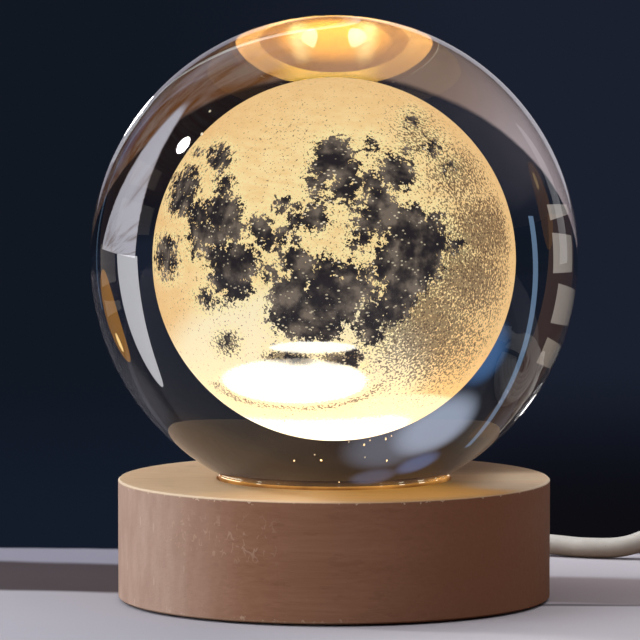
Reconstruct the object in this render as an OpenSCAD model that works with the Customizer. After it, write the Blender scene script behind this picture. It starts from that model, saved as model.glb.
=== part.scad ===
// Crystal ball lamp: a glass ball with an engraved moon, resting on a lit wooden base with a USB lead.
// Millimetres, Z up. The origin is the centre of the base's underside, and the front faces -Y.

/* [Crystal ball] */
// Diameter of the crystal ball
ball_d = 80; // [74:0.5:88]
// Depth that the lowest point of the ball sinks below the top of the base
ball_sink = 4; // [3.5:0.1:4.5]
// Diameter of the moon engraved inside the ball
moon_d = 39.2; // [30:0.1:46]
// Thickness of the engraved layer
engraving_t = 0.8; // [0.6:0.05:1.2]
// Gap kept between the engraved layer and the clear glass
engraving_gap = 0.1; // [0.05:0.01:0.2]

/* [Wooden base] */
// Diameter of the wooden base
base_d = 71; // [66:0.5:90]
// Height of the wood without its pad
wood_h = 19.6; // [18:0.1:26]
// Bevel on the outer edges of the wood
wood_bevel = 0.25; // [0.2:0.05:1]
// Bevel round the mouth of the seat
seat_bevel = 0.3; // [0.1:0.05:0.5]
// Depth of the counterbore that holds the seat ring
seat_depth = 2.1; // [1.6:0.1:3]
// Width of the wooden ledge under the seat ring
ledge_w = 2; // [1.4:0.1:2.4]
// Thickness of wood left under the wire pit
pit_floor_t = 3.1; // [1.5:0.1:4]
// Wood between the wire pit and the board screws
pit_wall = 0.7; // [0.5:0.1:1.2]
// Height of the cord bore above the wood's underside
exit_h = 6.6; // [5:0.1:7]

/* [Seat ring] */
// Width of the ring outside the circle where the ball sits
ring_out_w = 1.6; // [1.4:0.1:2.2]
// Width of the ring inside the circle where the ball sits
ring_in_w = 1.25; // [0.8:0.05:1.4]
// Height of the ring's lip above the wood
lip_h = 0.3; // [0.1:0.05:0.6]
// Rounding of the lip's outer edge
lip_round = 0.3; // [0.1:0.05:0.35]
// Gap between the ball and its seat
seat_gap = 0.2; // [0.1:0.05:0.4]

/* [Anti-slip pad] */
// Thickness of the soft pad
pad_t = 0.4; // [0.3:0.1:2]
// Distance from the pad's edge to the edge of the wood
pad_inset = 2.5; // [1:0.1:6]

/* [Light board] */
// Thickness of the circuit board
board_t = 1.2; // [0.8:0.1:1.6]
// Gap round the board in its pocket
board_gap = 0.3; // [0.1:0.05:0.6]
// Height kept free between the LEDs and the lowest point of the ball
led_clear = 1; // [0.6:0.1:2]
// Number of LEDs
led_count = 8; // [4:1:9]
// Turn of the first LED from the front, to the right
led_turn = 19.5; // [0:0.5:22]
// Width of an LED body
led_w = 5; // [4:0.1:5.2]
// Height of an LED body
led_h = 1.6; // [1.3:0.1:2]
// Diameter of the light window in an LED body
led_window_d = 4.2; // [3:0.1:4.2]
// Distance from the LED bodies to the edge of the board
led_edge = 0.75; // [0.3:0.05:1.2]
// Diameter of the wire hole through the board
wire_hole_d = 5; // [4.5:0.1:6]
// Diameter of a board screw's head
screw_head_d = 4.2; // [3.6:0.1:4.6]
// Diameter of a board screw's shank
screw_shank_d = 2.2; // [1.8:0.1:2.4]
// Length of a board screw under its head
screw_len = 6; // [4:0.5:8]

/* [Lead] */
// Diameter of the white cord
cord_d = 3.5; // [3.2:0.1:3.7]
// Diameter of each wire inside the cord
wire_d = 1.1; // [0.8:0.05:1.2]
// Gap round the cord where it passes through a hole
cord_fit = 0.05; // [0.02:0.01:0.1]
// Diameter of the grommet's sleeve in the wood
sleeve_d = 5.6; // [5.2:0.1:6.4]
// Length of the grommet's sleeve
sleeve_len = 8; // [5:0.5:12]
// Diameter of the grommet's flange
flange_d = 8.6; // [7.5:0.1:10]
// Thickness of the grommet's flange
flange_t = 1.4; // [1:0.1:2]
// Length of the grommet's tapered nose
nose_len = 8; // [6:0.5:12]

/* [Switch] */
// Length of the switch housing between its necks
switch_len = 36; // [34:0.5:42]
// Width of the switch housing
switch_w = 14; // [13:0.25:18]
// Height of the switch housing
switch_h = 10; // [9.5:0.25:12]
// Wall of the switch housing
switch_wall = 1.2; // [1:0.1:1.5]
// Height where the two shells meet, which is also the middle of the cord
split_h = 4; // [3.8:0.1:4.4]
// Length of the necks that grip the cord
neck_len = 4; // [3:0.5:6]
// Diameter of the button
button_d = 8; // [6:0.1:9]
// Height that the button stands above the housing
button_up = 2.2; // [1.9:0.1:3]
// Travel of the button
button_travel = 1.5; // [1:0.1:1.7]
// Gap round the button in its hole
button_fit = 0.08; // [0.04:0.01:0.1]

/* [Plug] */
// Width of the plug's metal shell
usb_w = 12; // [11.8:0.1:12.2]
// Height of the plug's metal shell
usb_h = 4.5; // [4.4:0.1:4.7]
// Length of the metal shell in front of the grip
usb_len = 11.8; // [11:0.1:13]
// Sheet thickness of the metal shell
usb_wall = 0.3; // [0.25:0.05:0.35]
// Length of the plug's grip
grip_len = 20; // [16:0.5:26]
// Width of the plug's grip
grip_w = 15.6; // [14.5:0.1:18]
// Height of the plug's grip
grip_h = 8; // [7.4:0.1:9]
// Length of the tapered relief behind the grip
relief_len = 8; // [6:0.5:12]

/* [Spare cord] */
// Radius of the coil's innermost point
coil_inner_r = 10; // [8:0.5:10]
// Distance between neighbouring turns of the coil
coil_pitch = 4; // [3.95:0.05:4.1]
// Turns in the lower layer of the coil
lower_turns = 4.5; // [3.5, 4.5]
// Thickness of the tie's strap
tie_t = 0.6; // [0.4:0.1:1]
// Width of the tie's strap
tie_w = 4; // [3:0.5:6]
// Gap between the tie and the coil
tie_gap = 0.2; // [0.1:0.05:0.3]

/* [Hidden] */
$fn = 64;
eps = 0.02;

// Heights and radii of the seat, worked out from the ball
ball_r = ball_d / 2;
moon_r = moon_d / 2;
base_r = base_d / 2;
base_top = pad_t + wood_h;
ball_z = base_top - ball_sink + ball_r;
seat_r = sqrt(2 * ball_r * ball_sink - ball_sink * ball_sink);
ring_in_r = seat_r - ring_in_w;
ring_out_r = seat_r + ring_out_w;
ring_fit = 0.05;
counterbore_r = ring_out_r + ring_fit;
ledge_z = base_top - seat_depth;
pocket_r = counterbore_r - ledge_w;

// Heights and radii of the light board
led_top = base_top - ball_sink - led_clear;
board_top = led_top - led_h;
board_z = board_top - board_t;
board_r = pocket_r - board_gap;
led_r = board_r - led_edge - led_w / 2;
led_step = 360 / led_count;
screw_gap = 0.5;
screw_r = led_r - led_w / 2 - screw_gap - screw_head_d / 2;
screw_head_h = 1.2;
screw_hole_fit = 0.2;
pit_r = screw_r - screw_shank_d / 2 - pit_wall;
pit_z = pad_t + pit_floor_t;

// Places along the cord bore
cord_r = cord_d / 2;
wire_r = wire_d / 2;
exit_z = pad_t + exit_h;
flange_r = flange_d / 2;
flange_face_gap = 0.2;
spot_r = flange_r + flange_face_gap;
spot_y = sqrt(base_r * base_r - spot_r * spot_r);
nose_y = spot_y + flange_t + nose_len;
stop_len = 3;
stop_t = 1.1;
stop_y = sqrt(pit_r * pit_r - pow(cord_r + stop_t, 2)) - stop_len - 0.1;
jacket_y = stop_y - 1;

// Route of the cord from the grommet to the switch
to_switch_route = [
    [0, 50, 6.8], [2, 57, 5.9], [7, 62, 4.9], [14.5, 63.4, 4.1], [22, 62.3, 3.5],
    [30, 59.8, 2.9], [36.5, 57.3, 2.4], [42.5, 54.4, 2], [48.5, 51.3, 1.8], [54, 49.5, 2.2]
];
// Route of the cord from the switch to the coil
to_coil_route = [
    [110, 48, 3.2], [115.2, 44.4, 2.6], [118.2, 38.6, 2.5], [119, 32, 2.5], [119, 26, 2.5], [119, 20, 2.55]
];
// Route of the cord from the coil to the plug
tail_route = [[121, 2, 6.1], [121, -4, 4.8]];
// Straight length at each end of a cord piece, where it meets the next one
straight = 1;

// Place of the switch, its cord line and its inner levels
switch_x = 82;
switch_y = 49;
neck_x = switch_len / 2 + neck_len;
neck_r = cord_r + 1.5;
grip_in_neck = 6;
cord_in_switch = neck_x - grip_in_neck;
button_r = button_d / 2;
button_flange_t = 1;
button_flange_r = button_r + 0.5;
button_head_z = switch_h + button_up;
button_under_z = switch_h - switch_wall - 0.1;
stem_r = 1.4;
core_l = 12;
core_w = 8;
core_roof_t = 0.7;
terminal_t = 0.4;
terminal_w = 2.4;
terminal_in = 2.6;
terminal_out = core_l / 2 + 1.6;
bridge_t = 0.4;
bridge_l = 9.6;
bridge_w = 2.4;
contact_gap = 0.1;
slot_fit = 0.3;
stem_z = switch_wall + terminal_t + contact_gap + button_travel + bridge_t;
core_top = stem_z + contact_gap + core_roof_t;
spring_wire_d = 0.35;
spring_r = 2.2;
spring_turns = 3.5;

// Shape of the coil: it winds in along the floor, climbs half way through, and winds out again on top
link_x = 119;
coil_y = 10;
coil_z = tie_t + tie_gap + cord_r;
layer_h = coil_pitch;
coil_turns = 2 * lower_turns + 1;
turn_back = lower_turns + 0.25;
coil_steps = 24;
coil_start_r = coil_inner_r + coil_pitch * turn_back;
coil_end_r = coil_inner_r + coil_pitch * (coil_turns - turn_back);
coil_x = link_x - coil_start_r;

// Heights and places of the plug, whose own X axis points to its tip
plug_x = coil_x + coil_end_r;
plug_y = -10;
plug_z = grip_h / 2;
plug_hold = 6;
core_len = 3;
tongue_t = 1.84;
shell_seat = 2;
shell_fit = 0.05;

// Directions of the moon's dark plains as [longitude from the front, latitude, half width in degrees]
plains = [
    [-83, 24, 8], [-70, 41, 5], [-52, 18, 10], [-44, 10, 8], [-41, -2, 10], [-81, 3, 6],
    [2, 43, 9], [30, 39, 9], [-7, 33, 8], [8, 29, 8], [-16, 22, 7], [-30, 14, 6],
    [31, 12, 14], [18, 0, 10], [-5, -11, 14], [-23, -10, 8], [27, -22, 9], [10, 17, 7],
    [118, 20, 9], [132, 34, 7], [150, -8, 12], [168, -16, 8], [-150, 26, 10], [-132, -20, 7]
];
// Directions of the moon's small craters, as for the plains
craters = [
    [-12, -36, 4], [9, -34, 5], [55, 2, 2.5], [60, 26, 3], [48, 40, 3], [-56, -14, 2.5],
    [-30, -28, 3], [20, -62, 5], [-40, 62, 4], [95, -30, 5], [-110, -42, 4], [178, 48, 5]
];

// Vector helpers
function unit(v) = v / norm(v);
function smooth(t) = t * t * (3 - 2 * t);

// Tangent of a path at point i
function tangent(path, i) = unit(path[min(i + 1, len(path) - 1)] - path[max(i - 1, 0)]);

// Ring of points round a path at point i, its first point turned half a side from the up direction
function ring(path, i, r, sides, up) =
    let (t = tangent(path, i), side = unit(cross(t, up)), top = cross(side, t))
    [for (k = [0 : sides - 1])
        let (a = 360 * (k + 0.5) / sides)
        path[i] + r * (cos(a) * top + sin(a) * side)];

// Tube of round section, swept along a path as one closed skin
module tube(path, r, sides = 8, up = [0, 0, 1]) {
    n = len(path);
    points = [for (i = [0 : n - 1]) each ring(path, i, r, sides, up)];
    walls = [for (i = [0 : n - 2]) for (k = [0 : sides - 1])
        let (a = i * sides + k, b = i * sides + (k + 1) % sides)
        each [[a, a + sides, b], [b, a + sides, b + sides]]];
    start_cap = [for (k = [1 : sides - 2]) [0, k, k + 1]];
    end_first = (n - 1) * sides;
    end_cap = [for (k = [1 : sides - 2]) [end_first, end_first + k + 1, end_first + k]];
    polyhedron(points = points, faces = concat(walls, start_cap, end_cap), convexity = 10);
}

// Plate with round corners, from height 0 up
module round_plate(l, w, h, r) {
    linear_extrude(h)
        round_rect(l, w, r);
}

// Outline with round corners, centred
module round_rect(l, w, r) {
    square([l - 2 * r, w], center = true);
    square([l, w - 2 * r], center = true);
    for (x = [-1, 1], y = [-1, 1])
        translate([x * (l / 2 - r), y * (w / 2 - r)])
            circle(r, $fn = 32);
}

// Ring from one radius to another, with a small bevel on every edge
module bevel_ring(r_in, r_out, h, b) {
    rotate_extrude()
        polygon([
            [r_in + b, 0], [r_out - b, 0], [r_out, b], [r_out, h - b],
            [r_out - b, h], [r_in + b, h], [r_in, h - b], [r_in, b]
        ]);
}

// Disc with bevelled edges, from height 0 up
module bevel_disc(r, h, b) {
    rotate_extrude()
        polygon([[0, 0], [r - b, 0], [r, b], [r, h - b], [r - b, h], [0, h]]);
}

// Child turned and moved to each LED
module each_led() {
    for (i = [0 : led_count - 1])
        rotate(-90 + led_turn + i * led_step)
            translate([led_r, 0, board_top])
                children();
}

// Cone from the moon's centre towards a direction, wide enough to cut its layer
module sky_cone(spot, grow) {
    reach = moon_r + 2;
    width = reach * tan(spot[2]) + grow;
    rotate([0, 0, spot[0] - 90])
        rotate([0, 90 - spot[1], 0])
            cylinder(h = reach, r1 = 0, r2 = width);
}

// Engraved layer with its dark plains left open and its craters sunk in
module engraved_layer(grow) {
    pit_cut = engraving_t * 0.5;
    translate([0, 0, ball_z])
        difference() {
            sphere(moon_r + grow, $fn = 96);
            sphere(moon_r - engraving_t - grow, $fn = 96);
            for (spot = plains)
                sky_cone(spot, -grow);
            if (grow == 0)
                for (spot = craters)
                    difference() {
                        sky_cone(spot, 0);
                        sphere(moon_r - pit_cut, $fn = 96);
                    }
        }
}

module crystal_ball() {
    color([0.85, 0.92, 0.98, 0.3])
        difference() {
            translate([0, 0, ball_z])
                sphere(ball_r, $fn = 128);
            engraved_layer(engraving_gap);
        }
}

module engraved_moon() {
    color([0.98, 0.86, 0.58])
        engraved_layer(0);
}

module wooden_base() {
    bore_r = cord_r + 0.35;
    screw_depth = screw_len - board_t + 0.5;
    color([0.80, 0.66, 0.50])
        difference() {
            translate([0, 0, pad_t])
                bevel_disc(base_r, wood_h, wood_bevel);
            // Seat, its bevelled mouth, light pocket and wire pit
            translate([0, 0, ledge_z])
                cylinder(h = seat_depth + 1, r = counterbore_r);
            translate([0, 0, base_top - seat_bevel])
                cylinder(h = seat_bevel + eps, r1 = counterbore_r, r2 = counterbore_r + seat_bevel + eps);
            translate([0, 0, board_z])
                cylinder(h = ledge_z - board_z + 1, r = pocket_r);
            translate([0, 0, pit_z])
                cylinder(h = board_z - pit_z + 1, r = pit_r);
            // Cord bore, grommet bore and flat face for the flange
            translate([0, 0, exit_z])
                rotate([-90, 0, 0])
                    cylinder(h = base_r + 1, r = bore_r);
            translate([0, spot_y - sleeve_len - 0.1, exit_z])
                rotate([-90, 0, 0])
                    cylinder(h = sleeve_len + 2, r = sleeve_d / 2 + cord_fit);
            translate([0, spot_y, exit_z])
                rotate([-90, 0, 0])
                    cylinder(h = base_r - spot_y + 1, r = spot_r);
            for (s = [-1, 1])
                translate([s * screw_r, 0, board_z - screw_depth])
                    cylinder(h = screw_depth + 1, r = screw_shank_d / 2 + cord_fit, $fn = 32);
        }
}

module anti_slip_pad() {
    pad_bevel = pad_t * 0.2;
    color([0.16, 0.16, 0.17])
        bevel_disc(base_r - pad_inset, pad_t, pad_bevel);
}

module seat_ring() {
    top = base_top + lip_h;
    inner_bevel = 0.3;
    color([0.96, 0.90, 0.78, 0.6])
        rotate_extrude($fn = 128)
            difference() {
                union() {
                    translate([ring_in_r + inner_bevel, ledge_z])
                        square([ring_out_r - ring_in_r - inner_bevel, seat_depth]);
                    translate([ring_in_r, ledge_z + inner_bevel])
                        square([ring_out_r - ring_in_r, top - lip_round - ledge_z - inner_bevel]);
                    translate([ring_in_r, ledge_z + inner_bevel])
                        square([ring_out_r - ring_in_r - lip_round, top - ledge_z - inner_bevel]);
                    translate([ring_out_r - lip_round, top - lip_round])
                        circle(lip_round, $fn = 32);
                }
                translate([0, ball_z])
                    circle(ball_r + seat_gap, $fn = 256);
            }
}

module led_board() {
    color([0.93, 0.94, 0.92])
        translate([0, 0, board_z])
            difference() {
                cylinder(h = board_t, r = board_r);
                translate([0, 0, -1])
                    cylinder(h = board_t + 2, r = wire_hole_d / 2);
                for (s = [-1, 1])
                    translate([s * screw_r, 0, -1])
                        cylinder(h = board_t + 2, r = screw_shank_d / 2 + screw_hole_fit, $fn = 32);
            }
}

// Depth and taper of the cup in an LED body
cup_depth = led_h * 0.55;
cup_floor_r = led_window_d / 2 - 0.3;

module led_bodies() {
    notch = 0.6;
    color([0.95, 0.95, 0.90])
        each_led()
            difference() {
                translate([-led_w / 2, -led_w / 2, 0])
                    cube([led_w, led_w, led_h]);
                translate([0, 0, led_h - cup_depth])
                    cylinder(h = cup_depth + eps, r1 = cup_floor_r, r2 = led_window_d / 2, $fn = 48);
                // Corner mark for the first pin
                translate([led_w / 2, led_w / 2, led_h])
                    rotate([0, 0, 45])
                        cube([2 * notch, notch, notch], center = true);
            }
}

module led_windows() {
    sag = 0.1;
    cup_fit = 0.05;
    rim_r = led_window_d / 2 - 2 * cup_fit;
    color([0.98, 0.82, 0.30])
        each_led()
            translate([0, 0, led_h - cup_depth])
                cylinder(h = cup_depth - sag, r1 = cup_floor_r - cup_fit, r2 = rim_r, $fn = 48);
}

module led_legs() {
    leg_w = 0.8;
    leg_out = 0.4;
    leg_h = 0.5;
    leg_step = led_w * 0.32;
    color([0.80, 0.80, 0.82])
        each_led()
            for (side = [-1, 1], k = [-1, 0, 1])
                translate([k * leg_step, side * (led_w / 2 + leg_out / 2), leg_h / 2])
                    cube([leg_w, leg_out, leg_h], center = true);
}

module chip_resistors() {
    size = [1.6, 3.2, 0.6];
    cap = 0.5;
    cap_step = 0.06;
    color([0.12, 0.12, 0.13])
        for (a = [45 : 90 : 315])
            rotate(a)
                translate([screw_r, 0, board_top])
                    union() {
                        translate([0, 0, size[2] / 2])
                            cube([size[0], size[1] - 2 * cap, size[2]], center = true);
                        for (s = [-1, 1])
                            translate([0, s * (size[1] - cap) / 2, size[2] / 2])
                                cube([size[0], cap, size[2] - cap_step], center = true);
                    }
}

module board_screws() {
    slot_l = screw_head_d * 0.6;
    slot_w = 0.5;
    slot_d = 0.7;
    crown_r = screw_head_d * 0.36;
    rim_h = screw_head_h * 0.5;
    tip_len = 1.2;
    tip_r = 0.2;
    color([0.75, 0.75, 0.77])
        for (s = [-1, 1])
            translate([s * screw_r, 0, board_top])
                difference() {
                    union() {
                        rotate_extrude($fn = 48)
                            polygon([
                                [0, 0], [screw_head_d / 2, 0], [screw_head_d / 2, rim_h],
                                [crown_r, screw_head_h], [0, screw_head_h]
                            ]);
                        translate([0, 0, tip_len - screw_len])
                            cylinder(h = screw_len - tip_len + eps, r = screw_shank_d / 2, $fn = 32);
                        translate([0, 0, -screw_len])
                            cylinder(h = tip_len + eps, r1 = tip_r, r2 = screw_shank_d / 2, $fn = 32);
                    }
                    for (a = [0, 90])
                        rotate(a)
                            translate([0, 0, screw_head_h])
                                cube([slot_l, slot_w, 2 * slot_d], center = true);
                }
}

// Place of a wire's solder joint, from the middle of the board
pad_x = 2.4;
pad_y = -(wire_hole_d / 2 + 2.2);
solder_r = 1.1;
solder_h = 1;

module solder_joints() {
    color([0.78, 0.79, 0.80])
        for (s = [-1, 1])
            translate([s * pad_x, pad_y, board_top])
                rotate_extrude($fn = 32)
                    dome_half(solder_r, solder_h);
}

// Right half of a flat-bottomed dome
module dome_half(r, h) {
    bow = (r * r + h * h) / (2 * h);
    intersection() {
        translate([0, h - bow])
            circle(bow, $fn = 64);
        square([r, h + 1]);
    }
}

// Bends of a wire in the pit, as [forward from the cord's end, up from the bore]
pit_bends = [[0, 0], [1, 0], [2.2, 0.7], [3, 2]];
// Bends of a wire over the board, as [out, forward from the hole's middle, up from the board]
board_bends = [[0, 1, 0], [0.2, 1.3, 0.75], [0.6, 2.2, 1.2]];
// Bends of a wire at its joint, as [in, back from the joint, up from the board]
joint_bends = [[0.4, 1.4, 1.2], [0, 1, 0.85], [0, 0, wire_r + 0.03]];

// Wire from the cord's cut end, up through the board and over to its solder joint
module lead_wire(side) {
    near = wire_r + 0.1;
    rise_y = -board_bends[0][1];
    rise_z = board_z - 1.4;
    path = concat(
        [for (b = pit_bends) [side * near, jacket_y - b[0], exit_z + b[1]]],
        [[side * near, rise_y, rise_z]],
        [for (b = board_bends) [side * (near + b[0]), -b[1], board_top + b[2]]],
        [for (b = joint_bends) [side * (pad_x - b[0]), pad_y + b[1], board_top + b[2]]]
    );
    tube(path, wire_r, 8, [1, 0, 0]);
}

module positive_lead() {
    color([0.75, 0.08, 0.06])
        lead_wire(1);
}

module negative_lead() {
    color([0.08, 0.08, 0.09])
        lead_wire(-1);
}

module cord_inner_end() {
    color([0.95, 0.95, 0.94])
        translate([0, jacket_y, exit_z])
            rotate([-90, 0, 0])
                cylinder(h = nose_y - jacket_y, r = cord_r);
}

module cord_stop() {
    flat_cut = 0.3;
    groove_r = 0.4;
    edge = 0.2;
    flat_w = 2 * (cord_r + stop_t - flat_cut);
    color([0.72, 0.72, 0.70])
        translate([0, stop_y, exit_z])
            rotate([-90, 0, 0])
                difference() {
                    intersection() {
                        bevel_ring(cord_r + cord_fit, cord_r + stop_t, stop_len, edge);
                        translate([0, 0, stop_len / 2])
                            cube([flat_w, 4 * cord_d, stop_len + 1], center = true);
                    }
                    // Crimp groove round the middle
                    translate([0, 0, stop_len / 2])
                        rotate_extrude($fn = 48)
                            translate([cord_r + stop_t, 0])
                                circle(groove_r, $fn = 24);
                }
}

module cable_grommet() {
    nose_r = sleeve_d / 2 + 0.2;
    tip_r = cord_r + 0.7;
    flange_edge = 0.3;
    groove_count = 3;
    groove_r = 0.35;
    groove_step = nose_len / (groove_count + 1);
    hole_r = cord_r + cord_fit;
    color([0.93, 0.93, 0.92])
        translate([0, spot_y, exit_z])
            rotate([-90, 0, 0])
                difference() {
                    union() {
                        translate([0, 0, -sleeve_len])
                            cylinder(h = sleeve_len + eps, r = sleeve_d / 2);
                        bevel_disc(flange_r, flange_t, flange_edge);
                        translate([0, 0, flange_t - eps])
                            cylinder(h = nose_len + eps, r1 = nose_r, r2 = tip_r);
                    }
                    translate([0, 0, -sleeve_len - 1])
                        cylinder(h = sleeve_len + flange_t + nose_len + 2, r = hole_r);
                    for (k = [1 : groove_count])
                        translate([0, 0, flange_t + k * groove_step])
                            rotate_extrude($fn = 48)
                                translate([nose_r + (tip_r - nose_r) * k * groove_step / nose_len, 0])
                                    circle(groove_r, $fn = 24);
                }
}

// Cord pieces: each path starts and ends straight, square to what it meets
to_switch_path = concat(
    [[0, nose_y, exit_z], [0, nose_y + straight, exit_z]],
    to_switch_route,
    [[switch_x - neck_x, switch_y, split_h], [switch_x - cord_in_switch, switch_y, split_h]]
);
to_coil_path = concat(
    [[switch_x + cord_in_switch, switch_y, split_h], [switch_x + neck_x, switch_y, split_h]],
    to_coil_route,
    [[link_x, coil_y + cord_d + straight, coil_z], [link_x, coil_y + cord_d, coil_z]]
);
tail_path = concat(
    [[plug_x, coil_y - cord_d, coil_z + layer_h], [plug_x, coil_y - cord_d - straight, coil_z + layer_h]],
    tail_route,
    [[plug_x, plug_y, plug_z], [plug_x, plug_y - plug_hold, plug_z]]
);

// Point of the coil's middle line after a number of turns
function coil_point(t) =
    let (
        r = coil_inner_r + coil_pitch * abs(t - turn_back),
        climb = smooth(min(max(2 * (t - lower_turns), 0), 1)),
        a = -360 * t
    )
    [coil_x + r * cos(a), coil_y + r * sin(a), coil_z + layer_h * climb];

coil_path = concat(
    [[link_x, coil_y + cord_d, coil_z]],
    [for (i = [0 : coil_turns * coil_steps]) coil_point(i / coil_steps)],
    [[plug_x, coil_y - cord_d, coil_z + layer_h]]
);

// Length of a path, and the least gap of the coil to itself
function path_length(p) = len(p) < 2 ? 0 : sum_steps(p, 1, 0);
function sum_steps(p, i, total) =
    i >= len(p) ? total : sum_steps(p, i + 1, total + norm(p[i] - p[i - 1]));
coil_gap = min([for (i = [0 : len(coil_path) - 1])
    for (j = [i + 12 : 1 : len(coil_path) - 1])
        norm(coil_path[i] - coil_path[j])]) - cord_d;
union() {  // cord_coil
    echo(coil_least_gap_mm = coil_gap);
    echo(cord_to_switch_mm = path_length(to_switch_path));
    echo(cord_after_switch_mm = path_length(to_coil_path) + path_length(coil_path) + path_length(tail_path));
}

module cord_to_switch() {
    color([0.95, 0.95, 0.94])
        tube(to_switch_path, cord_r);
}

module cord_to_coil() {
    color([0.95, 0.95, 0.94])
        tube(to_coil_path, cord_r);
}

module cord_coil() {
    color([0.95, 0.95, 0.94])
        tube(coil_path, cord_r, 6);
}

module cord_tail() {
    color([0.95, 0.95, 0.94])
        tube(tail_path, cord_r);
}

module coil_tie() {
    near_turn = lower_turns - 0.25;
    far_turn = coil_turns - 0.75;
    side_r = coil_inner_r + coil_pitch * abs(near_turn - turn_back) - cord_r;
    far_r = coil_inner_r + coil_pitch * (far_turn - turn_back) + cord_r;
    near_r = sqrt(side_r * side_r - tie_w * tie_w / 4);
    low = coil_z - cord_r - tie_gap;
    high = coil_z + layer_h + cord_r + tie_gap;
    inner_l = far_r - near_r + 2 * tie_gap;
    inner_h = high - low;
    corner = 1.2;
    color([0.20, 0.21, 0.22])
        translate([coil_x, coil_y - (near_r + far_r) / 2, (low + high) / 2])
            rotate([90, 0, 90])
                translate([0, 0, -tie_w / 2])
                    difference() {
                        round_plate(inner_l + 2 * tie_t, inner_h + 2 * tie_t, tie_w, corner + tie_t);
                        translate([0, 0, -1])
                            round_plate(inner_l, inner_h, tie_w + 2, corner);
                    }
}

// Solid outline of the switch housing, smaller all round by inset
module switch_form(inset) {
    corner = 5 - inset;
    crown = 3 - inset;
    l = switch_len - 2 * inset;
    w = switch_w - 2 * inset;
    h = switch_h - 2 * inset;
    intersection() {
        translate([0, 0, inset])
            round_plate(l, w, h, corner);
        // End view with a rounded top
        translate([-l / 2 - 1, 0, inset])
            rotate([90, 0, 90])
                linear_extrude(l + 2)
                    arch_outline(w, h, crown);
    }
}

// Outline with a flat foot and round upper corners
module arch_outline(w, h, r) {
    foot_r = r * 0.35;
    translate([-w / 2, foot_r])
        square([w, h - r - foot_r]);
    translate([-w / 2 + foot_r, 0])
        square([w - 2 * foot_r, h - r]);
    translate([-w / 2 + r, 0])
        square([w - 2 * r, h]);
    for (s = [-1, 1]) {
        translate([s * (w / 2 - r), h - r])
            circle(r, $fn = 48);
        translate([s * (w / 2 - foot_r), foot_r])
            circle(foot_r, $fn = 32);
    }
}

// Both necks of the switch, with their cord holes cut by the shells
module switch_necks() {
    rooted = switch_wall / 2;
    rim = 0.5;
    for (s = [-1, 1])
        translate([s * (switch_len / 2 - rooted), 0, split_h])
            rotate([0, s * 90, 0])
                rotate_extrude($fn = 48)
                    polygon([
                        [0, 0], [neck_r, 0], [neck_r, rooted + neck_len - rim],
                        [neck_r - rim, rooted + neck_len], [0, rooted + neck_len]
                    ]);
}

// Whole housing as one hollow, before it is parted
module switch_housing() {
    difference() {
        union() {
            switch_form(0);
            switch_necks();
        }
        switch_form(switch_wall);
        translate([-neck_x - 1, 0, split_h])
            rotate([0, 90, 0])
                cylinder(h = 2 * neck_x + 2, r = cord_r + cord_fit, $fn = 48);
    }
}

// Posts that the housing screws pass through, grown into the side walls
screw_post_x = 12.4;
screw_post_y = 4.2;
screw_post_r = 1.8;
screw_seat_h = 1.2;
screw_seat_r = 1.4;
screw_clear_r = 0.85;
screw_bite_r = 0.62;
screw_bite = 3;
seam = 0.03;

module at_screw_posts() {
    for (s = [-1, 1])
        translate([s * screw_post_x, s * screw_post_y, 0])
            children();
}

module at_switch() {
    translate([switch_x, switch_y, 0])
        children();
}

module switch_lower_shell() {
    color([0.94, 0.94, 0.93])
        at_switch()
            difference() {
                union() {
                    intersection() {
                        switch_housing();
                        translate([-neck_x - 1, -switch_w, -1])
                            cube([2 * neck_x + 2, 2 * switch_w, split_h + 1 - seam]);
                    }
                    at_screw_posts()
                        translate([0, 0, switch_wall / 2])
                            cylinder(h = split_h - seam - switch_wall / 2, r = screw_post_r, $fn = 32);
                }
                at_screw_posts() {
                    translate([0, 0, -1])
                        cylinder(h = switch_h, r = screw_clear_r, $fn = 32);
                    translate([0, 0, -1])
                        cylinder(h = screw_seat_h + 1, r = screw_seat_r, $fn = 32);
                }
            }
}

module switch_upper_shell() {
    post_top = switch_h - switch_wall / 2 - 0.4;
    collar_w = 1.2;
    collar_h = 0.5;
    collar_edge = 0.15;
    groove_x = 8.2;
    groove_step = 1.8;
    groove_l = switch_w - 6;
    groove_r = 0.35;
    color([0.94, 0.94, 0.93])
        at_switch()
            difference() {
                union() {
                    intersection() {
                        switch_housing();
                        translate([-neck_x - 1, -switch_w, split_h + seam])
                            cube([2 * neck_x + 2, 2 * switch_w, switch_h]);
                    }
                    at_screw_posts()
                        translate([0, 0, split_h + seam])
                            cylinder(h = post_top - split_h - seam, r = screw_post_r, $fn = 32);
                    // Raised collar round the button
                    translate([0, 0, switch_h - switch_wall / 2])
                        bevel_disc(button_r + collar_w, switch_wall / 2 + collar_h, collar_edge);
                }
                translate([0, 0, switch_h - switch_wall - 1])
                    cylinder(h = switch_wall + 3, r = button_r + button_fit);
                at_screw_posts()
                    translate([0, 0, split_h - 1])
                        cylinder(h = screw_bite + 1, r = screw_bite_r, $fn = 32);
                // Finger grooves beside the button
                for (s = [-1, 1], k = [0 : 2])
                    translate([s * (groove_x + groove_step * k), 0, switch_h])
                        rotate([90, 0, 0])
                            cylinder(h = groove_l, r = groove_r, center = true, $fn = 24);
            }
}

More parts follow.
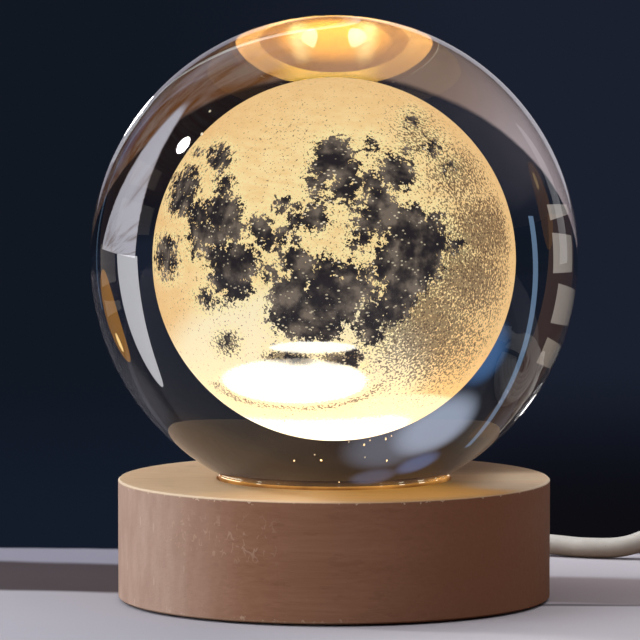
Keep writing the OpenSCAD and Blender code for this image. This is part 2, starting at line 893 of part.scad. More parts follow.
module switch_button() {
    head_h = button_head_z - button_under_z;
    head_edge = 0.4;
    dish_r = 14;
    dish_d = 0.4;
    color([0.90, 0.90, 0.89])
        at_switch()
            difference() {
                union() {
                    translate([0, 0, button_under_z - button_flange_t])
                        cylinder(h = button_flange_t, r = button_flange_r);
                    translate([0, 0, button_under_z - eps])
                        bevel_disc(button_r, head_h + eps, head_edge);
                    translate([0, 0, stem_z])
                        cylinder(h = button_under_z - stem_z, r = stem_r, $fn = 48);
                }
                translate([0, 0, button_head_z + dish_r - dish_d])
                    sphere(dish_r, $fn = 96);
            }
}

module switch_bridge() {
    corner = 0.5;
    color([0.80, 0.62, 0.28])
        at_switch()
            translate([0, 0, stem_z - bridge_t])
                round_plate(bridge_l, bridge_w, bridge_t, corner);
}

module switch_spring() {
    end_gap = 0.05;
    low = core_top + spring_wire_d / 2 + end_gap;
    high = button_under_z - button_flange_t - spring_wire_d / 2 - end_gap;
    steps = 8;
    path = [for (i = [0 : spring_turns * steps])
        let (a = 360 * i / steps, f = i / (spring_turns * steps))
        [spring_r * cos(a), spring_r * sin(a), low + (high - low) * f]];
    color([0.70, 0.71, 0.73])
        at_switch()
            tube(path, spring_wire_d / 2, 6);
}

// Carrier of the contacts: the bridge moves in its slot, and the spring stands on its roof
module switch_core() {
    slot_l = bridge_l + 2 * slot_fit;
    slot_h = stem_z + contact_gap - switch_wall;
    corner = 0.6;
    notch_fit = 0.05;
    notch_w = terminal_w + 2 * notch_fit;
    notch_h = terminal_t + notch_fit;
    stem_fit = 0.2;
    color([0.25, 0.25, 0.26])
        at_switch()
            translate([0, 0, switch_wall])
                difference() {
                    round_plate(core_l, core_w, core_top - switch_wall, corner);
                    translate([-slot_l / 2, -bridge_w / 2 - slot_fit, -1])
                        cube([slot_l, bridge_w + 2 * slot_fit, slot_h + 1]);
                    translate([-core_l, -notch_w / 2, -1])
                        cube([2 * core_l, notch_w, notch_h + 1]);
                    cylinder(h = core_top, r = stem_r + stem_fit, $fn = 48);
                }
}

// Fixed contacts: strips under the core, each with a soldering tab at its outer end
module switch_terminals() {
    tab_h = 2.2;
    color([0.80, 0.62, 0.28])
        at_switch()
            for (s = [0, 180])
                rotate(s)
                    translate([0, -terminal_w / 2, switch_wall])
                        union() {
                            translate([terminal_in, 0, 0])
                                cube([terminal_out - terminal_in, terminal_w, terminal_t]);
                            translate([terminal_out - terminal_t, 0, 0])
                                cube([terminal_t, terminal_w, tab_h]);
                        }
}

module switch_wires() {
    z = split_h;
    start_x = cord_in_switch;
    free_x = start_x - 1.5;
    turn_x = start_x - 5;
    tab_x = terminal_out + wire_r;
    tab_z = switch_wall + terminal_t + wire_r + 0.3;
    split_y = 0.8;
    bow_y = 2;
    wire_up = 0.2;
    side_x = core_l / 2 + 1;
    side_y = core_w / 2 + wire_r + 0.3;
    color([0.70, 0.10, 0.08])
        at_switch() {
            for (s = [-1, 1])
                tube([
                    [s * start_x, -split_y, z], [s * free_x, -split_y, z],
                    [s * (tab_x + 2), -0.5, z - 1], [s * tab_x, -0.4, tab_z]
                ], wire_r, 8);
            tube([
                [-start_x, split_y, z], [-free_x, split_y, z], [-turn_x, bow_y, z + wire_up],
                [-side_x, side_y, z + wire_up], [side_x, side_y, z + wire_up],
                [turn_x, bow_y, z + wire_up], [free_x, split_y, z], [start_x, split_y, z]
            ], wire_r, 8);
        }
}

module switch_screws() {
    head_r = 1.3;
    head_h = 0.6;
    head_z = screw_seat_h - head_h - 0.02;
    shank_r = 0.6;
    shank_len = 5.1;
    slot_l = 1.6;
    slot_w = 0.35;
    slot_d = 0.3;
    color([0.55, 0.56, 0.58])
        at_switch()
            at_screw_posts()
                difference() {
                    union() {
                        translate([0, 0, head_z])
                            cylinder(h = head_h, r = head_r, $fn = 32);
                        translate([0, 0, head_z + head_h - eps])
                            cylinder(h = shank_len, r = shank_r, $fn = 32);
                    }
                    for (a = [0, 90])
                        rotate(a)
                            translate([0, 0, head_z])
                                cube([slot_l, slot_w, 2 * slot_d], center = true);
                }
}

// Plug drawn along its own X axis, then turned so that its tip points to the front
module at_plug() {
    translate([plug_x, plug_y, plug_z])
        rotate([0, 0, -90])
            children();
}

module plug_grip() {
    body_x = relief_len;
    crown = 2.4;
    waist = 1.2;
    waist_x = body_x + 10;
    waist_r = 30;
    groove_count = 5;
    groove_x = body_x + 6;
    groove_step = 2;
    groove_l = grip_w - 2 * crown - 1;
    groove_r = 0.5;
    relief_r = cord_r + 0.6;
    relief_root_r = grip_h / 2 - 0.5;
    relief_groove_r = 0.35;
    bore_l = plug_hold + 0.1;
    color([0.95, 0.95, 0.94])
        at_plug()
            difference() {
                union() {
                    // Grip with a rounded section
                    translate([body_x, 0, 0])
                        rotate([90, 0, 90])
                            linear_extrude(grip_len)
                                round_rect(grip_w, grip_h, crown);
                    rotate([0, 90, 0])
                        cylinder(h = relief_len + eps, r1 = relief_r, r2 = relief_root_r);
                }
                translate([-1, 0, 0])
                    rotate([0, 90, 0])
                        cylinder(h = bore_l + 1, r = cord_r + cord_fit);
                // Seat for the metal shell
                translate([body_x + grip_len - shell_seat, 0, 0])
                    rotate([90, 0, 90])
                        linear_extrude(shell_seat + 1)
                            square([usb_w + 2 * shell_fit, usb_h + 2 * shell_fit], center = true);
                // Thumb hollows with ribs between their grooves, above and below
                for (s = [-1, 1], k = [0 : groove_count - 1])
                    translate([groove_x + k * groove_step, 0, s * grip_h / 2])
                        rotate([90, 0, 0])
                            cylinder(h = groove_l, r = groove_r, center = true, $fn = 24);
                // Drawn-in sides
                for (s = [-1, 1])
                    translate([waist_x, s * (grip_w / 2 + waist_r - waist), 0])
                        cylinder(h = grip_h + 2, r = waist_r, center = true, $fn = 128);
                // Grooves round the relief
                for (k = [1 : 3])
                    translate([k * relief_len / 4, 0, 0])
                        rotate([0, 90, 0])
                            rotate_extrude($fn = 48)
                                translate([relief_r + (relief_root_r - relief_r) * k / 4, 0])
                                    circle(relief_groove_r, $fn = 24);
            }
}

module plug_shell() {
    back = relief_len + grip_len - shell_seat;
    full = usb_len + shell_seat;
    hole = 2.2;
    hole_out = 5.6;
    hole_x = back + shell_seat + hole_out;
    color([0.80, 0.81, 0.83])
        at_plug()
            difference() {
                translate([back, -usb_w / 2, -usb_h / 2])
                    cube([full, usb_w, usb_h]);
                translate([back - 1, -usb_w / 2 + usb_wall, -usb_h / 2 + usb_wall])
                    cube([full + 2, usb_w - 2 * usb_wall, usb_h - 2 * usb_wall]);
                // Latch windows through the top and the bottom
                for (s = [-1, 1])
                    translate([hole_x, s * usb_w / 4, 0])
                        cube([hole, hole, usb_h + 2], center = true);
            }
}

module plug_tongue() {
    back = relief_len + grip_len - shell_seat;
    in_w = usb_w - 2 * usb_wall - 2 * shell_fit;
    in_h = usb_h - 2 * usb_wall - 2 * shell_fit;
    tip_gap = 0.6;
    tongue_l = usb_len + shell_seat - core_len - tip_gap;
    color([0.92, 0.92, 0.90])
        at_plug()
            union() {
                translate([back, -in_w / 2, -in_h / 2])
                    cube([core_len, in_w, in_h]);
                translate([back + core_len - eps, -in_w / 2, in_h / 2 - tongue_t])
                    cube([tongue_l + eps, in_w, tongue_t]);
            }
}

module plug_contacts() {
    back = relief_len + grip_len - shell_seat + core_len;
    in_h = usb_h - 2 * usb_wall - 2 * shell_fit;
    start = back + 0.2;
    pitch = 2.5;
    contact_w = 1;
    contact_t = 0.15;
    outer_l = 8.4;
    inner_l = 7.4;
    color([0.86, 0.70, 0.30])
        at_plug()
            for (k = [0 : 3])
                translate([start, (k - 1.5) * pitch - contact_w / 2, in_h / 2 - tongue_t - contact_t])
                    cube([k == 0 || k == 3 ? outer_l : inner_l, contact_w, contact_t]);
}

wooden_base();
anti_slip_pad();
seat_ring();
crystal_ball();
engraved_moon();
led_board();
led_bodies();
led_windows();
led_legs();
chip_resistors();
board_screws();
solder_joints();
positive_lead();
negative_lead();
cord_inner_end();
cord_stop();
cable_grommet();
cord_to_switch();
switch_lower_shell();
switch_upper_shell();
switch_button();
switch_bridge();
switch_spring();
switch_core();
switch_terminals();
switch_wires();
switch_screws();
cord_to_coil();
cord_coil();
cord_tail();
coil_tie();
plug_grip();
plug_shell();
plug_tongue();
plug_contacts();
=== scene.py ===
import bpy
import bmesh
import math
import random
import numpy as np
from mathutils import Matrix, Vector


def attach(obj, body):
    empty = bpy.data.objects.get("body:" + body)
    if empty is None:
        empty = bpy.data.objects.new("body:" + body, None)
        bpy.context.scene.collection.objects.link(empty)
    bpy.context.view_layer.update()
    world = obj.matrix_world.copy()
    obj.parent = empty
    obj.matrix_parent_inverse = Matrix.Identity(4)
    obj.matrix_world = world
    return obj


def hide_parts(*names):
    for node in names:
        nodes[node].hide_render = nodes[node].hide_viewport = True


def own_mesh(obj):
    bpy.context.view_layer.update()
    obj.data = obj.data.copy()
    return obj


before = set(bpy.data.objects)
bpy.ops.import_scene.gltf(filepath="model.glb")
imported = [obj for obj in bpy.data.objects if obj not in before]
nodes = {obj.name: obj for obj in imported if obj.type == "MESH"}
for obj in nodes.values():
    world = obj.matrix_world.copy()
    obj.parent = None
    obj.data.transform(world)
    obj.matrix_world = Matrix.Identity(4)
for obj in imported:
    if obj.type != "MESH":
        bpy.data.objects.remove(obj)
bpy.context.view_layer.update()        # the imported nodes, now in world space
scene = bpy.context.scene
mm = 0.001
ballMiddle = Vector((0, 0, 0.056))
print("lamp: frame loaded,", len(nodes), "nodes")


cameraSet = {
    "place": (-0.0609, -0.900, 0.1174),
    "yaw": 0.065,              # radians to the right
    "pitch": 0.079,            # radians down
    "focalPixels": 5511.8,
    "framePixels": 640,
}


def makeCamera(s):
    data = bpy.data.cameras.new("photoCamera")
    data.sensor_width = 36
    data.lens = s["focalPixels"] / s["framePixels"] * data.sensor_width
    data.clip_start, data.clip_end = 0.01, 50
    camera = bpy.data.objects.new("photoCamera", data)
    look = Vector((math.sin(s["yaw"]) * math.cos(s["pitch"]), math.cos(s["yaw"]) * math.cos(s["pitch"]),
                   -math.sin(s["pitch"])))
    camera.location = s["place"]
    camera.rotation_euler = look.to_track_quat("-Z", "Y").to_euler()
    scene.collection.objects.link(camera)
    scene.camera = camera
    right = Vector((math.cos(s["yaw"]), -math.sin(s["yaw"]), 0))
    return look, right, right.cross(look)


lookWay, rightWay, upWay = makeCamera(cameraSet)
print("lamp: camera set")


cordSet = {
    "diameter": 0.0035,
    "toSwitch": [  # mm, from the grommet's nose to the switch
        (0, 44.61, 7), (0, 45.61, 7), (0, 50, 6.8), (2, 57, 5.9), (7, 62, 4.9), (14.5, 63.4, 4.1),
        (22, 62.3, 3.5), (30, 59.8, 2.9), (36.5, 57.3, 2.4), (42.5, 54.4, 2), (48.5, 51.3, 1.8),
        (54, 49.5, 2.2), (60, 49, 4), (66, 49, 4),
    ],
    "toCoil": [    # mm, from the switch to the coil
        (98, 49, 4), (104, 49, 4), (110, 48, 3.2), (115.2, 44.4, 2.6), (118.2, 38.6, 2.5),
        (119, 32, 2.5), (119, 26, 2.5), (119, 20, 2.55), (119, 14.5, 2.55), (119, 13.5, 2.55),
    ],
    "tail": [      # mm, from the coil to the plug
        (121, 6.5, 6.55), (121, 5.5, 6.55), (121, 2, 6.1), (121, -4, 4.8), (121, -10, 4), (121, -16, 4),
    ],
    "coilMiddle": (90, 10), "coilRadius": 10, "coilPitch": 4, "turnBack": 4.75,
    "turns": 10, "lowTurns": 4.5, "lowHeight": 2.55, "steps": 24,
}


def coilRoute(s):
    # winds in along the floor, climbs half way through and winds out on top
    points = []
    for i in range(s["turns"] * s["steps"] + 1):
        t = i / s["steps"]
        r = s["coilRadius"] + s["coilPitch"] * abs(t - s["turnBack"])
        climb = min(max(2 * (t - s["lowTurns"]), 0), 1)
        climb = climb * climb * (3 - 2 * climb)
        a = -2 * math.pi * t
        points.append((s["coilMiddle"][0] + r * math.cos(a), s["coilMiddle"][1] + r * math.sin(a),
                       s["lowHeight"] + s["coilPitch"] * climb))
    return points


def makeCurve(name, points, thickness, fine=4):
    data = bpy.data.curves.new(name, "CURVE")
    data.dimensions = "3D"
    data.bevel_depth = 1         # each knot's radius gives the thickness
    data.bevel_resolution = 5
    data.resolution_u = fine
    data.use_fill_caps = True
    spline = data.splines.new("BEZIER")
    spline.bezier_points.add(len(points) - 1)
    for knot, p in zip(spline.bezier_points, points):
        knot.co = [c * mm for c in p]
        knot.radius = thickness / 2
        knot.handle_left_type = knot.handle_right_type = "AUTO"
    piece = bpy.data.objects.new(name, data)
    scene.collection.objects.link(piece)
    return piece


def routeLength(points):
    return sum((Vector(b) - Vector(a)).length for a, b in zip(points, points[1:])) * mm


cordToSwitch = makeCurve("cordToSwitch", cordSet["toSwitch"], cordSet["diameter"], 8)
woundRoute = cordSet["toCoil"] + coilRoute(cordSet) + cordSet["tail"]
cordWound = makeCurve("cordWound", woundRoute, cordSet["diameter"], 3)
for piece, replaced in ((cordToSwitch, ["cord_to_switch"]),
                        (cordWound, ["cord_to_coil", "cord_coil", "cord_tail"])):
    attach(piece, "base")
    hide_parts(*replaced)
print("lamp: cords laid,", round(routeLength(cordSet["toSwitch"]) + routeLength(woundRoute), 3), "m")


def tone(r, g, b):
    # a picture colour, 0 to 255, as the linear colour that the sockets take
    return tuple(c / 255 / 12.92 if c < 11 else ((c / 255 + 0.055) / 1.055) ** 2.4 for c in (r, g, b))


black = tone(0, 0, 0)


def newGroup(name, inputs, outputs):
    group = bpy.data.node_groups.new(name, "ShaderNodeTree")
    for label, kind, value in inputs:
        socket = group.interface.new_socket(name=label, in_out="INPUT", socket_type="NodeSocket" + kind)
        if value is not None:
            socket.default_value = value
    for label in outputs:
        group.interface.new_socket(name=label, in_out="OUTPUT", socket_type="NodeSocketFloat")
    return group, group.nodes.new("NodeGroupInput"), group.nodes.new("NodeGroupOutput")


def plug(value, socket):
    # a plain value or colour sets the input, and another node's output feeds it
    if isinstance(value, bpy.types.NodeSocket):
        socket.id_data.links.new(value, socket)
    else:
        socket.default_value = (*value[:3], 1) if socket.type == "RGBA" else value


def addNode(tree, kind, links=None, **settings):
    node = tree.nodes.new("ShaderNode" + kind)
    for key, value in settings.items():
        setattr(node, key, value)
    for key, value in (links or {}).items():
        plug(value, node.inputs[key])
    return node


def treeOf(*values):
    # the node tree of the first output among the values
    return next(value.id_data for value in values if isinstance(value, bpy.types.NodeSocket))


def addMath(operation, *values, clamp=False):
    return addNode(treeOf(*values), "Math", dict(enumerate(values)), operation=operation,
                   use_clamp=clamp).outputs[0]


def addMinus(first, second, clamp=False):
    return addMath("SUBTRACT", first, second, clamp=clamp)


def addTimes(first, second, clamp=False):
    return addMath("MULTIPLY", first, second, clamp=clamp)


def addTimesPlus(first, second, third):
    # first times second, plus third
    return addMath("MULTIPLY_ADD", first, second, third)


def addGap(first, second):
    return addMath("ABSOLUTE", addMinus(first, second))


def addLength(first, second):
    # length of the two at right angles to each other
    squares = addMath("ADD", addTimes(first, first), addTimes(second, second))
    return addMath("SQRT", squares)


def addNoise(vector, scale, detail, rough=0.5):
    return addNode(treeOf(vector), "TexNoise", {"Vector": vector, "Scale": scale, "Detail": detail,
                                                "Roughness": rough}).outputs[0]


def addXyz(vector):
    return addNode(treeOf(vector), "SeparateXYZ", {0: vector}).outputs


def addMapping(vector, turn=(0, 0, 0), scale=(1, 1, 1)):
    # turn is in degrees
    turn = [math.radians(a) for a in turn]
    return addNode(treeOf(vector), "Mapping", {"Vector": vector, "Rotation": turn, "Scale": scale}).outputs[0]


def addStep(value, low, high, smooth=True):
    return addNode(treeOf(value), "MapRange", {"Value": value, "From Min": low, "From Max": high},
                   interpolation_type="SMOOTHSTEP" if smooth else "LINEAR").outputs[0]


def addMix(mask, first, second, share=None):
    # mix of two colours, each a plain colour or an output, by the mask or a share of it
    if share is not None:
        mask = addTimes(mask, share)
    return addNode(treeOf(mask, first, second), "Mix", {0: mask, 6: first, 7: second},
                   data_type="RGBA").outputs[2]


def addSpread(noise, contrast):
    return addMath("MULTIPLY_ADD", addMinus(noise, 0.5), contrast, 0.5, clamp=True)


def makeMottleGroup():
    # soft blotches and a finer grain on top of them
    group, start, end = newGroup("mottle", [("Vector", "Vector", None), ("Scale", "Float", 100),
                                            ("Contrast", "Float", 2)], ["Mask", "Grain"])
    big = addNoise(start.outputs["Vector"], start.outputs["Scale"], 4, 0.55)
    fine = addNoise(start.outputs["Vector"], addTimes(start.outputs["Scale"], 7), 3)
    group.links.new(addSpread(big, start.outputs["Contrast"]), end.inputs["Mask"])
    group.links.new(fine, end.inputs["Grain"])
    return group


def makeSpeckGroup():
    # small round specks, of which Density is the share that shows
    group, start, end = newGroup("specks", [("Vector", "Vector", None), ("Scale", "Float", 1000),
                                            ("Density", "Float", 0.5), ("Size", "Float", 0.4)], ["Mask"])
    cells = addNode(group, "TexVoronoi", {"Vector": start.outputs["Vector"], "Scale": start.outputs["Scale"],
                                          "Randomness": 0.85})
    pick = addNode(group, "SeparateColor", {"Color": cells.outputs["Color"]})
    chosen = addMath("LESS_THAN", pick.outputs[0], start.outputs["Density"])
    inner = addTimes(start.outputs["Size"], 0.6)
    dot = addStep(cells.outputs["Distance"], start.outputs["Size"], inner)
    group.links.new(addTimes(dot, chosen), end.inputs["Mask"])
    return group


def makeStreakGroup():
    # noise drawn out along one axis, for brushed metal and grain
    group, start, end = newGroup("streaks", [("Vector", "Vector", None), ("Stretch", "Vector", (1, 1, 1)),
                                             ("Scale", "Float", 100), ("Contrast", "Float", 2)], ["Mask"])
    drawn = addNode(group, "VectorMath", {0: start.outputs["Vector"], 1: start.outputs["Stretch"]},
                    operation="MULTIPLY")
    noise = addNoise(drawn.outputs[0], start.outputs["Scale"], 5, 0.6)
    group.links.new(addSpread(noise, start.outputs["Contrast"]), end.inputs["Mask"])
    return group


groups = {"mottle": makeMottleGroup(), "specks": makeSpeckGroup(), "streaks": makeStreakGroup()}


def addGroup(name, vector, **values):
    return addNode(treeOf(vector), "Group", {"Vector": vector, **values}, node_tree=groups[name])


def addMask(name, vector, **values):
    return addGroup(name, vector, **values).outputs["Mask"]


def newMaterial(name, numbers=None):
    material = bpy.data.materials.new(name)
    material.use_nodes = True
    shader = material.node_tree.nodes["Principled BSDF"]
    for key, value in (numbers or {}).items():
        shader.inputs[key].default_value = value
    return material, shader, addNode(material.node_tree, "TexCoord").outputs["Object"]


def feed(shader, **outputs):
    # baseColour=x feeds x to Base Color, and so on
    names = {"baseColour": "Base Color", "glow": "Emission Color", "normal": "Normal",
             "roughness": "Roughness", "metal": "Metallic"}
    for key, output in outputs.items():
        shader.id_data.links.new(output, shader.inputs[names[key]])


def feedRough(shader, value, low, high):
    spread = addNode(shader.id_data, "MapRange", {"Value": value, "To Min": low, "To Max": high})
    feed(shader, roughness=spread.outputs[0])


def feedBump(shader, height, strength, distance):
    bump = addNode(shader.id_data, "Bump", {"Height": height, "Strength": strength, "Distance": distance})
    feed(shader, normal=bump.outputs[0])


# moulded finishes: pale and deep tone, scale of the blotches, roughness, relief in metres, dust
plasticSet = {
    "cordVinyl": ((232, 230, 226), (214, 211, 206), 260, (0.38, 0.55), 0.00002, 0.05),
    "switchShell": ((236, 235, 232), (221, 219, 215), 140, (0.32, 0.45), 0.00002, 0.04),
    "buttonCap": ((226, 225, 221), (207, 205, 200), 300, (0.22, 0.40), 0.00001, 0.03),
    "plugGrip": ((235, 234, 231), (216, 214, 210), 180, (0.42, 0.58), 0.00003, 0.05),
    "tongueNylon": ((230, 229, 222), (212, 210, 201), 400, (0.35, 0.5), 0.00001, 0.02),
    "padFoam": ((38, 38, 41), (24, 24, 27), 700, (0.8, 0.95), 0.00012, 0.12),
    "wireRed": ((176, 38, 30), (146, 26, 22), 500, (0.35, 0.5), 0.00001, 0.02),
    "wireBlack": ((34, 34, 37), (20, 20, 22), 500, (0.35, 0.5), 0.00001, 0.03),
    "coreNylon": ((62, 63, 66), (46, 47, 50), 300, (0.45, 0.6), 0.00001, 0.03),
}
# metals: the same, with how far their streaks are drawn out in place of dust
metalSet = {
    "plugSteel": ((205, 207, 211), (176, 178, 184), 60, (0.16, 0.34), 0.000006, (1, 9, 9)),
    "screwZinc": ((190, 192, 197), (150, 152, 158), 400, (0.28, 0.5), 0.00001, (3, 3, 1)),
    "springSteel": ((170, 172, 176), (128, 130, 136), 900, (0.25, 0.4), 0.000004, (1, 1, 6)),
    "legTin": ((206, 207, 206), (168, 169, 170), 900, (0.25, 0.45), 0.000008, (2, 2, 5)),
    "solder": ((208, 209, 211), (160, 162, 166), 1200, (0.18, 0.42), 0.00002, (1, 1, 2)),
    "crimpMetal": ((186, 186, 180), (150, 149, 142), 300, (0.3, 0.5), 0.00001, (1, 8, 1)),
    "contactBrass": ((214, 176, 98), (176, 134, 66), 300, (0.22, 0.42), 0.000008, (1, 6, 6)),
    "contactGold": ((238, 198, 104), (208, 160, 74), 600, (0.14, 0.3), 0.000004, (6, 1, 6)),
}


def makeFinish(name, pale, deep, scale, rough, relief, dust=None, stretch=None):
    material, shader, where = newMaterial(name, {"Metallic": 1.0 if stretch else 0.0})
    mask, grain = addGroup("mottle", where, Scale=scale, Contrast=2.2).outputs
    if stretch:
        drawn = addMask("streaks", where, Stretch=stretch, Scale=scale * 3, Contrast=3.0)
        mask = addTimesPlus(drawn, 0.6, addTimes(mask, 0.4))
    colour = addMix(mask, tone(*pale), tone(*deep))
    if dust:
        specks = addMask("specks", where, Scale=scale * 6, Density=dust, Size=0.3)
        colour = addMix(specks, colour, tone(120, 112, 102), 0.35)
    feed(shader, baseColour=colour)
    feedRough(shader, mask, *rough)
    feedBump(shader, grain, 0.6, relief)
    return material


finishes = {name: makeFinish(name, *s[:5], dust=s[5]) for name, s in plasticSet.items()}
finishes.update({name: makeFinish(name, *s[:5], stretch=s[5]) for name, s in metalSet.items()})
nodeFinish = {    # the CAD nodes that stay in view with a finish of their own
    "led_legs": "legTin", "board_screws": "screwZinc", "solder_joints": "solder", "cord_stop": "crimpMetal",
    "switch_bridge": "contactBrass", "switch_core": "coreNylon", "switch_terminals": "contactBrass",
    "switch_wires": "wireRed", "switch_screws": "screwZinc", "plug_tongue": "tongueNylon",
    "plug_contacts": "contactGold",
}


def dress(piece, material):
    piece.data.materials.clear()
    piece.data.materials.append(material)


for node, name in nodeFinish.items():
    dress(nodes[node], finishes[name])
for piece in (cordToSwitch, cordWound):
    dress(piece, finishes["cordVinyl"])
print("lamp: finishes made,", len(finishes))


def finishMesh(name, mesh, smooth=True):
    data = bpy.data.meshes.new(name)
    mesh.to_mesh(data)
    mesh.free()
    for face in data.polygons:
        face.use_smooth = smooth
    piece = bpy.data.objects.new(name, data)
    scene.collection.objects.link(piece)
    return piece


def pullEdges(mesh, rim, way, steps):
    # draws open edges out into a wall, in even steps along the way
    for i in range(steps):
        pulled = bmesh.ops.extrude_edge_only(mesh, edges=rim)["geom"]
        points = [g for g in pulled if isinstance(g, bmesh.types.BMVert)]
        bmesh.ops.translate(mesh, verts=points, vec=[c / steps for c in way])
        rim = [g for g in pulled if isinstance(g, bmesh.types.BMEdge)]
    return rim


def sharpenEdges(piece, degrees):
    # round walls shade smoothly and corners stay crisp
    mesh = bmesh.new()
    mesh.from_mesh(piece.data)
    for edge in mesh.edges:
        edge.smooth = len(edge.link_faces) != 2 or edge.calc_face_angle(0) < math.radians(degrees)
    mesh.to_mesh(piece.data)
    mesh.free()


def placePiece(piece, body, replaced, material):
    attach(piece, body)
    if replaced:
        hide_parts(*replaced)
    if material:
        dress(piece, material)
    return piece


ballSet = {"radius": 0.040, "segments": 256, "rings": 128, "ior": 1.52}


def makeCrystal(s):
    material, shader, where = newMaterial("clearCrystal", {"Roughness": 0.0, "IOR": s["ior"],
                                                           "Transmission Weight": 1.0})
    haze = addMask("mottle", where, Scale=35, Contrast=1.6)
    feed(shader, baseColour=addMix(haze, (1.0, 1.0, 1.0), (0.965, 0.98, 0.99)))
    mesh = bmesh.new()
    bmesh.ops.create_uvsphere(mesh, u_segments=s["segments"], v_segments=s["rings"], radius=s["radius"])
    bmesh.ops.translate(mesh, verts=mesh.verts, vec=ballMiddle)
    return placePiece(finishMesh("crystalBall", mesh), "ball", ["crystal_ball"], material)


makeCrystal(ballSet)
print("lamp: crystal ball made")


moonSet = {
    "radius": 0.0196,
    "seenRadius": 0.0298,      # the ball's glass enlarges the moon to this
    "fineness": 7,
    # dark plains as they show in the ball: right, up, radius, depth, in parts of the seen moon's radius
    "plains": [
        (-.62, .55, .05, .7), (-.74, .58, .02, .4), (-.81, .40, .06, 1), (-.83, .31, .055, 1),
        (-.78, .46, .03, .5), (-.593, .42, .03, .7), (-.60, .36, .026, .8), (-.593, .25, .085, 1),
        (-.566, .18, .065, 1), (-.632, .13, .06, .9), (-.725, .24, .06, .7), (-.711, .15, .065, .8),
        (-.731, .07, .04, .5), (-.909, .075, .035, .9), (-.916, 0, .045, 1), (-.90, -.06, .025, .7),
        (-.62, .01, .06, .9), (-.54, -.03, .10, 1), (-.474, 0, .05, .9), (-.52, -.149, .065, 1),
        (-.593, -.10, .06, .9), (-.395, .167, .05, .8), (-.356, .115, .05, .7), (-.30, .12, .035, .5),
        (-.277, .286, .03, .6), (-.184, .22, .05, .5), (-.105, .233, .065, .6), (-.237, .115, .045, .4),
        (0, .55, .09, 1), (-.053, .497, .06, .8), (.066, .47, .07, .8), (-.105, .42, .04, .8),
        (-.092, .352, .033, .7), (.053, .378, .065, .8), (.119, .404, .045, .6), (.329, .47, .075, 1),
        (.37, .44, .05, .8), (.198, .404, .055, .6), (.25, .312, .065, .8), (.211, .215, .075, .6),
        (.29, .233, .065, .8), (.12, .27, .04, .4), (.395, .18, .10, .9), (.487, .101, .105, 1),
        (.369, .062, .09, 1), (.53, .20, .045, .7), (.448, .009, .11, 1), (.316, -.03, .09, .9),
        (.395, -.096, .10, 1), (.263, -.07, .055, .7), (.51, -.05, .05, .7), (.119, .09, .045, .4),
        (.158, .16, .05, .5), (.316, -.267, .075, .8), (.356, -.19, .075, .9), (.198, -.294, .06, .8),
        (.198, -.386, .055, .7), (.158, -.333, .045, .6), (-.211, -.004, .06, .8), (-.158, -.07, .06, .9),
        (-.27, .01, .025, .5), (-.04, -.07, .075, .5), (-.08, -.02, .04, .4), (-.237, -.20, .09, 1),
        (-.184, -.294, .12, 1), (-.277, -.307, .06, .8), (-.158, -.373, .06, 1), (-.053, -.294, .10, 1),
        (-.04, -.386, .055, 1), (-.053, -.162, .10, .9), (.04, -.267, .08, .9), (.105, -.096, .07, .5),
        (.079, -.188, .09, .6), (.158, -.162, .06, .5), (.184, -.228, .045, .5), (-.349, -.07, .028, .5),
        (-.685, -.215, .03, .6), (-.60, -.228, .025, .4), (-.573, -.445, .04, .3), (-.237, -.524, .045, .3),
        (-.31, -.50, .03, .2), (-.18, -.545, .03, .25), (.092, -.531, .045, .5), (0, -.55, .035, .2),
        (.652, .069, .02, .8), (.422, .754, .035, .3), (.527, .615, .028, .5), (.395, .589, .026, .4),
        (.198, .615, .04, .25), (.62, .50, .03, .2),
    ],
    # fine brown stipple: right, up, radius, strength
    "stipple": [(.50, -.36, .44, 1.0), (.72, -.10, .36, 1.0), (.80, .15, .32, 1.0), (.66, .45, .28, .75),
                (.45, .66, .22, .6), (.28, .50, .20, .4), (-.45, -.10, .5, .12), (.2, .2, .5, .25),
                (-.2, .6, .3, .2), (-.58, -.45, .10, .8)],
    # ellipses where the LEDs' light strikes the engraving: right, up, half width, half height, strength
    "hot": [(-.216, -.658, .400, .125, 1.0), (-.115, -.475, .25, .035, .75), (.38, -.80, .30, .07, .35),
            (-.20, -.55, .72, .40, .26)],
    # lit lower limb: where its edge is lowest, height there, rise, right end
    "hotRim": (-.2, -.838, .10, .52),
    "hotBelt": (-.2, -.64, .46, .17),    # speckled belt under the brightest ellipse
    # brown arcs across the hot spots: right, up, half width, half height
    "arcs": [(-.25, -.53, .13, .028), (-.19, -.548, .09, .022), (.03, -.535, .10, .03),
             (.10, -.525, .05, .035)],
    "grow": 0.020,             # added to the radius of each plain that is deep enough
    # plains and craters out of sight: degrees round from the front, degrees up, half width
    "farPlains": [(118, 20, 9), (132, 34, 7), (150, -8, 12), (168, -16, 8), (-150, 26, 10), (-132, -20, 7)],
    # limb is a painted warm shade, more orange towards the moon's edge
    "cream": tone(255, 228, 168), "creamDeep": tone(242, 204, 142), "limb": tone(236, 188, 128),
    "hotTone": tone(252, 236, 196), "shore": tone(250, 236, 172), "brown": tone(88, 66, 54),
    "night": tone(40, 36, 39), "nightPale": tone(116, 104, 93), "salt": tone(238, 222, 190),
    "whiteHot": (1.15, 1.12, 1.02),
}


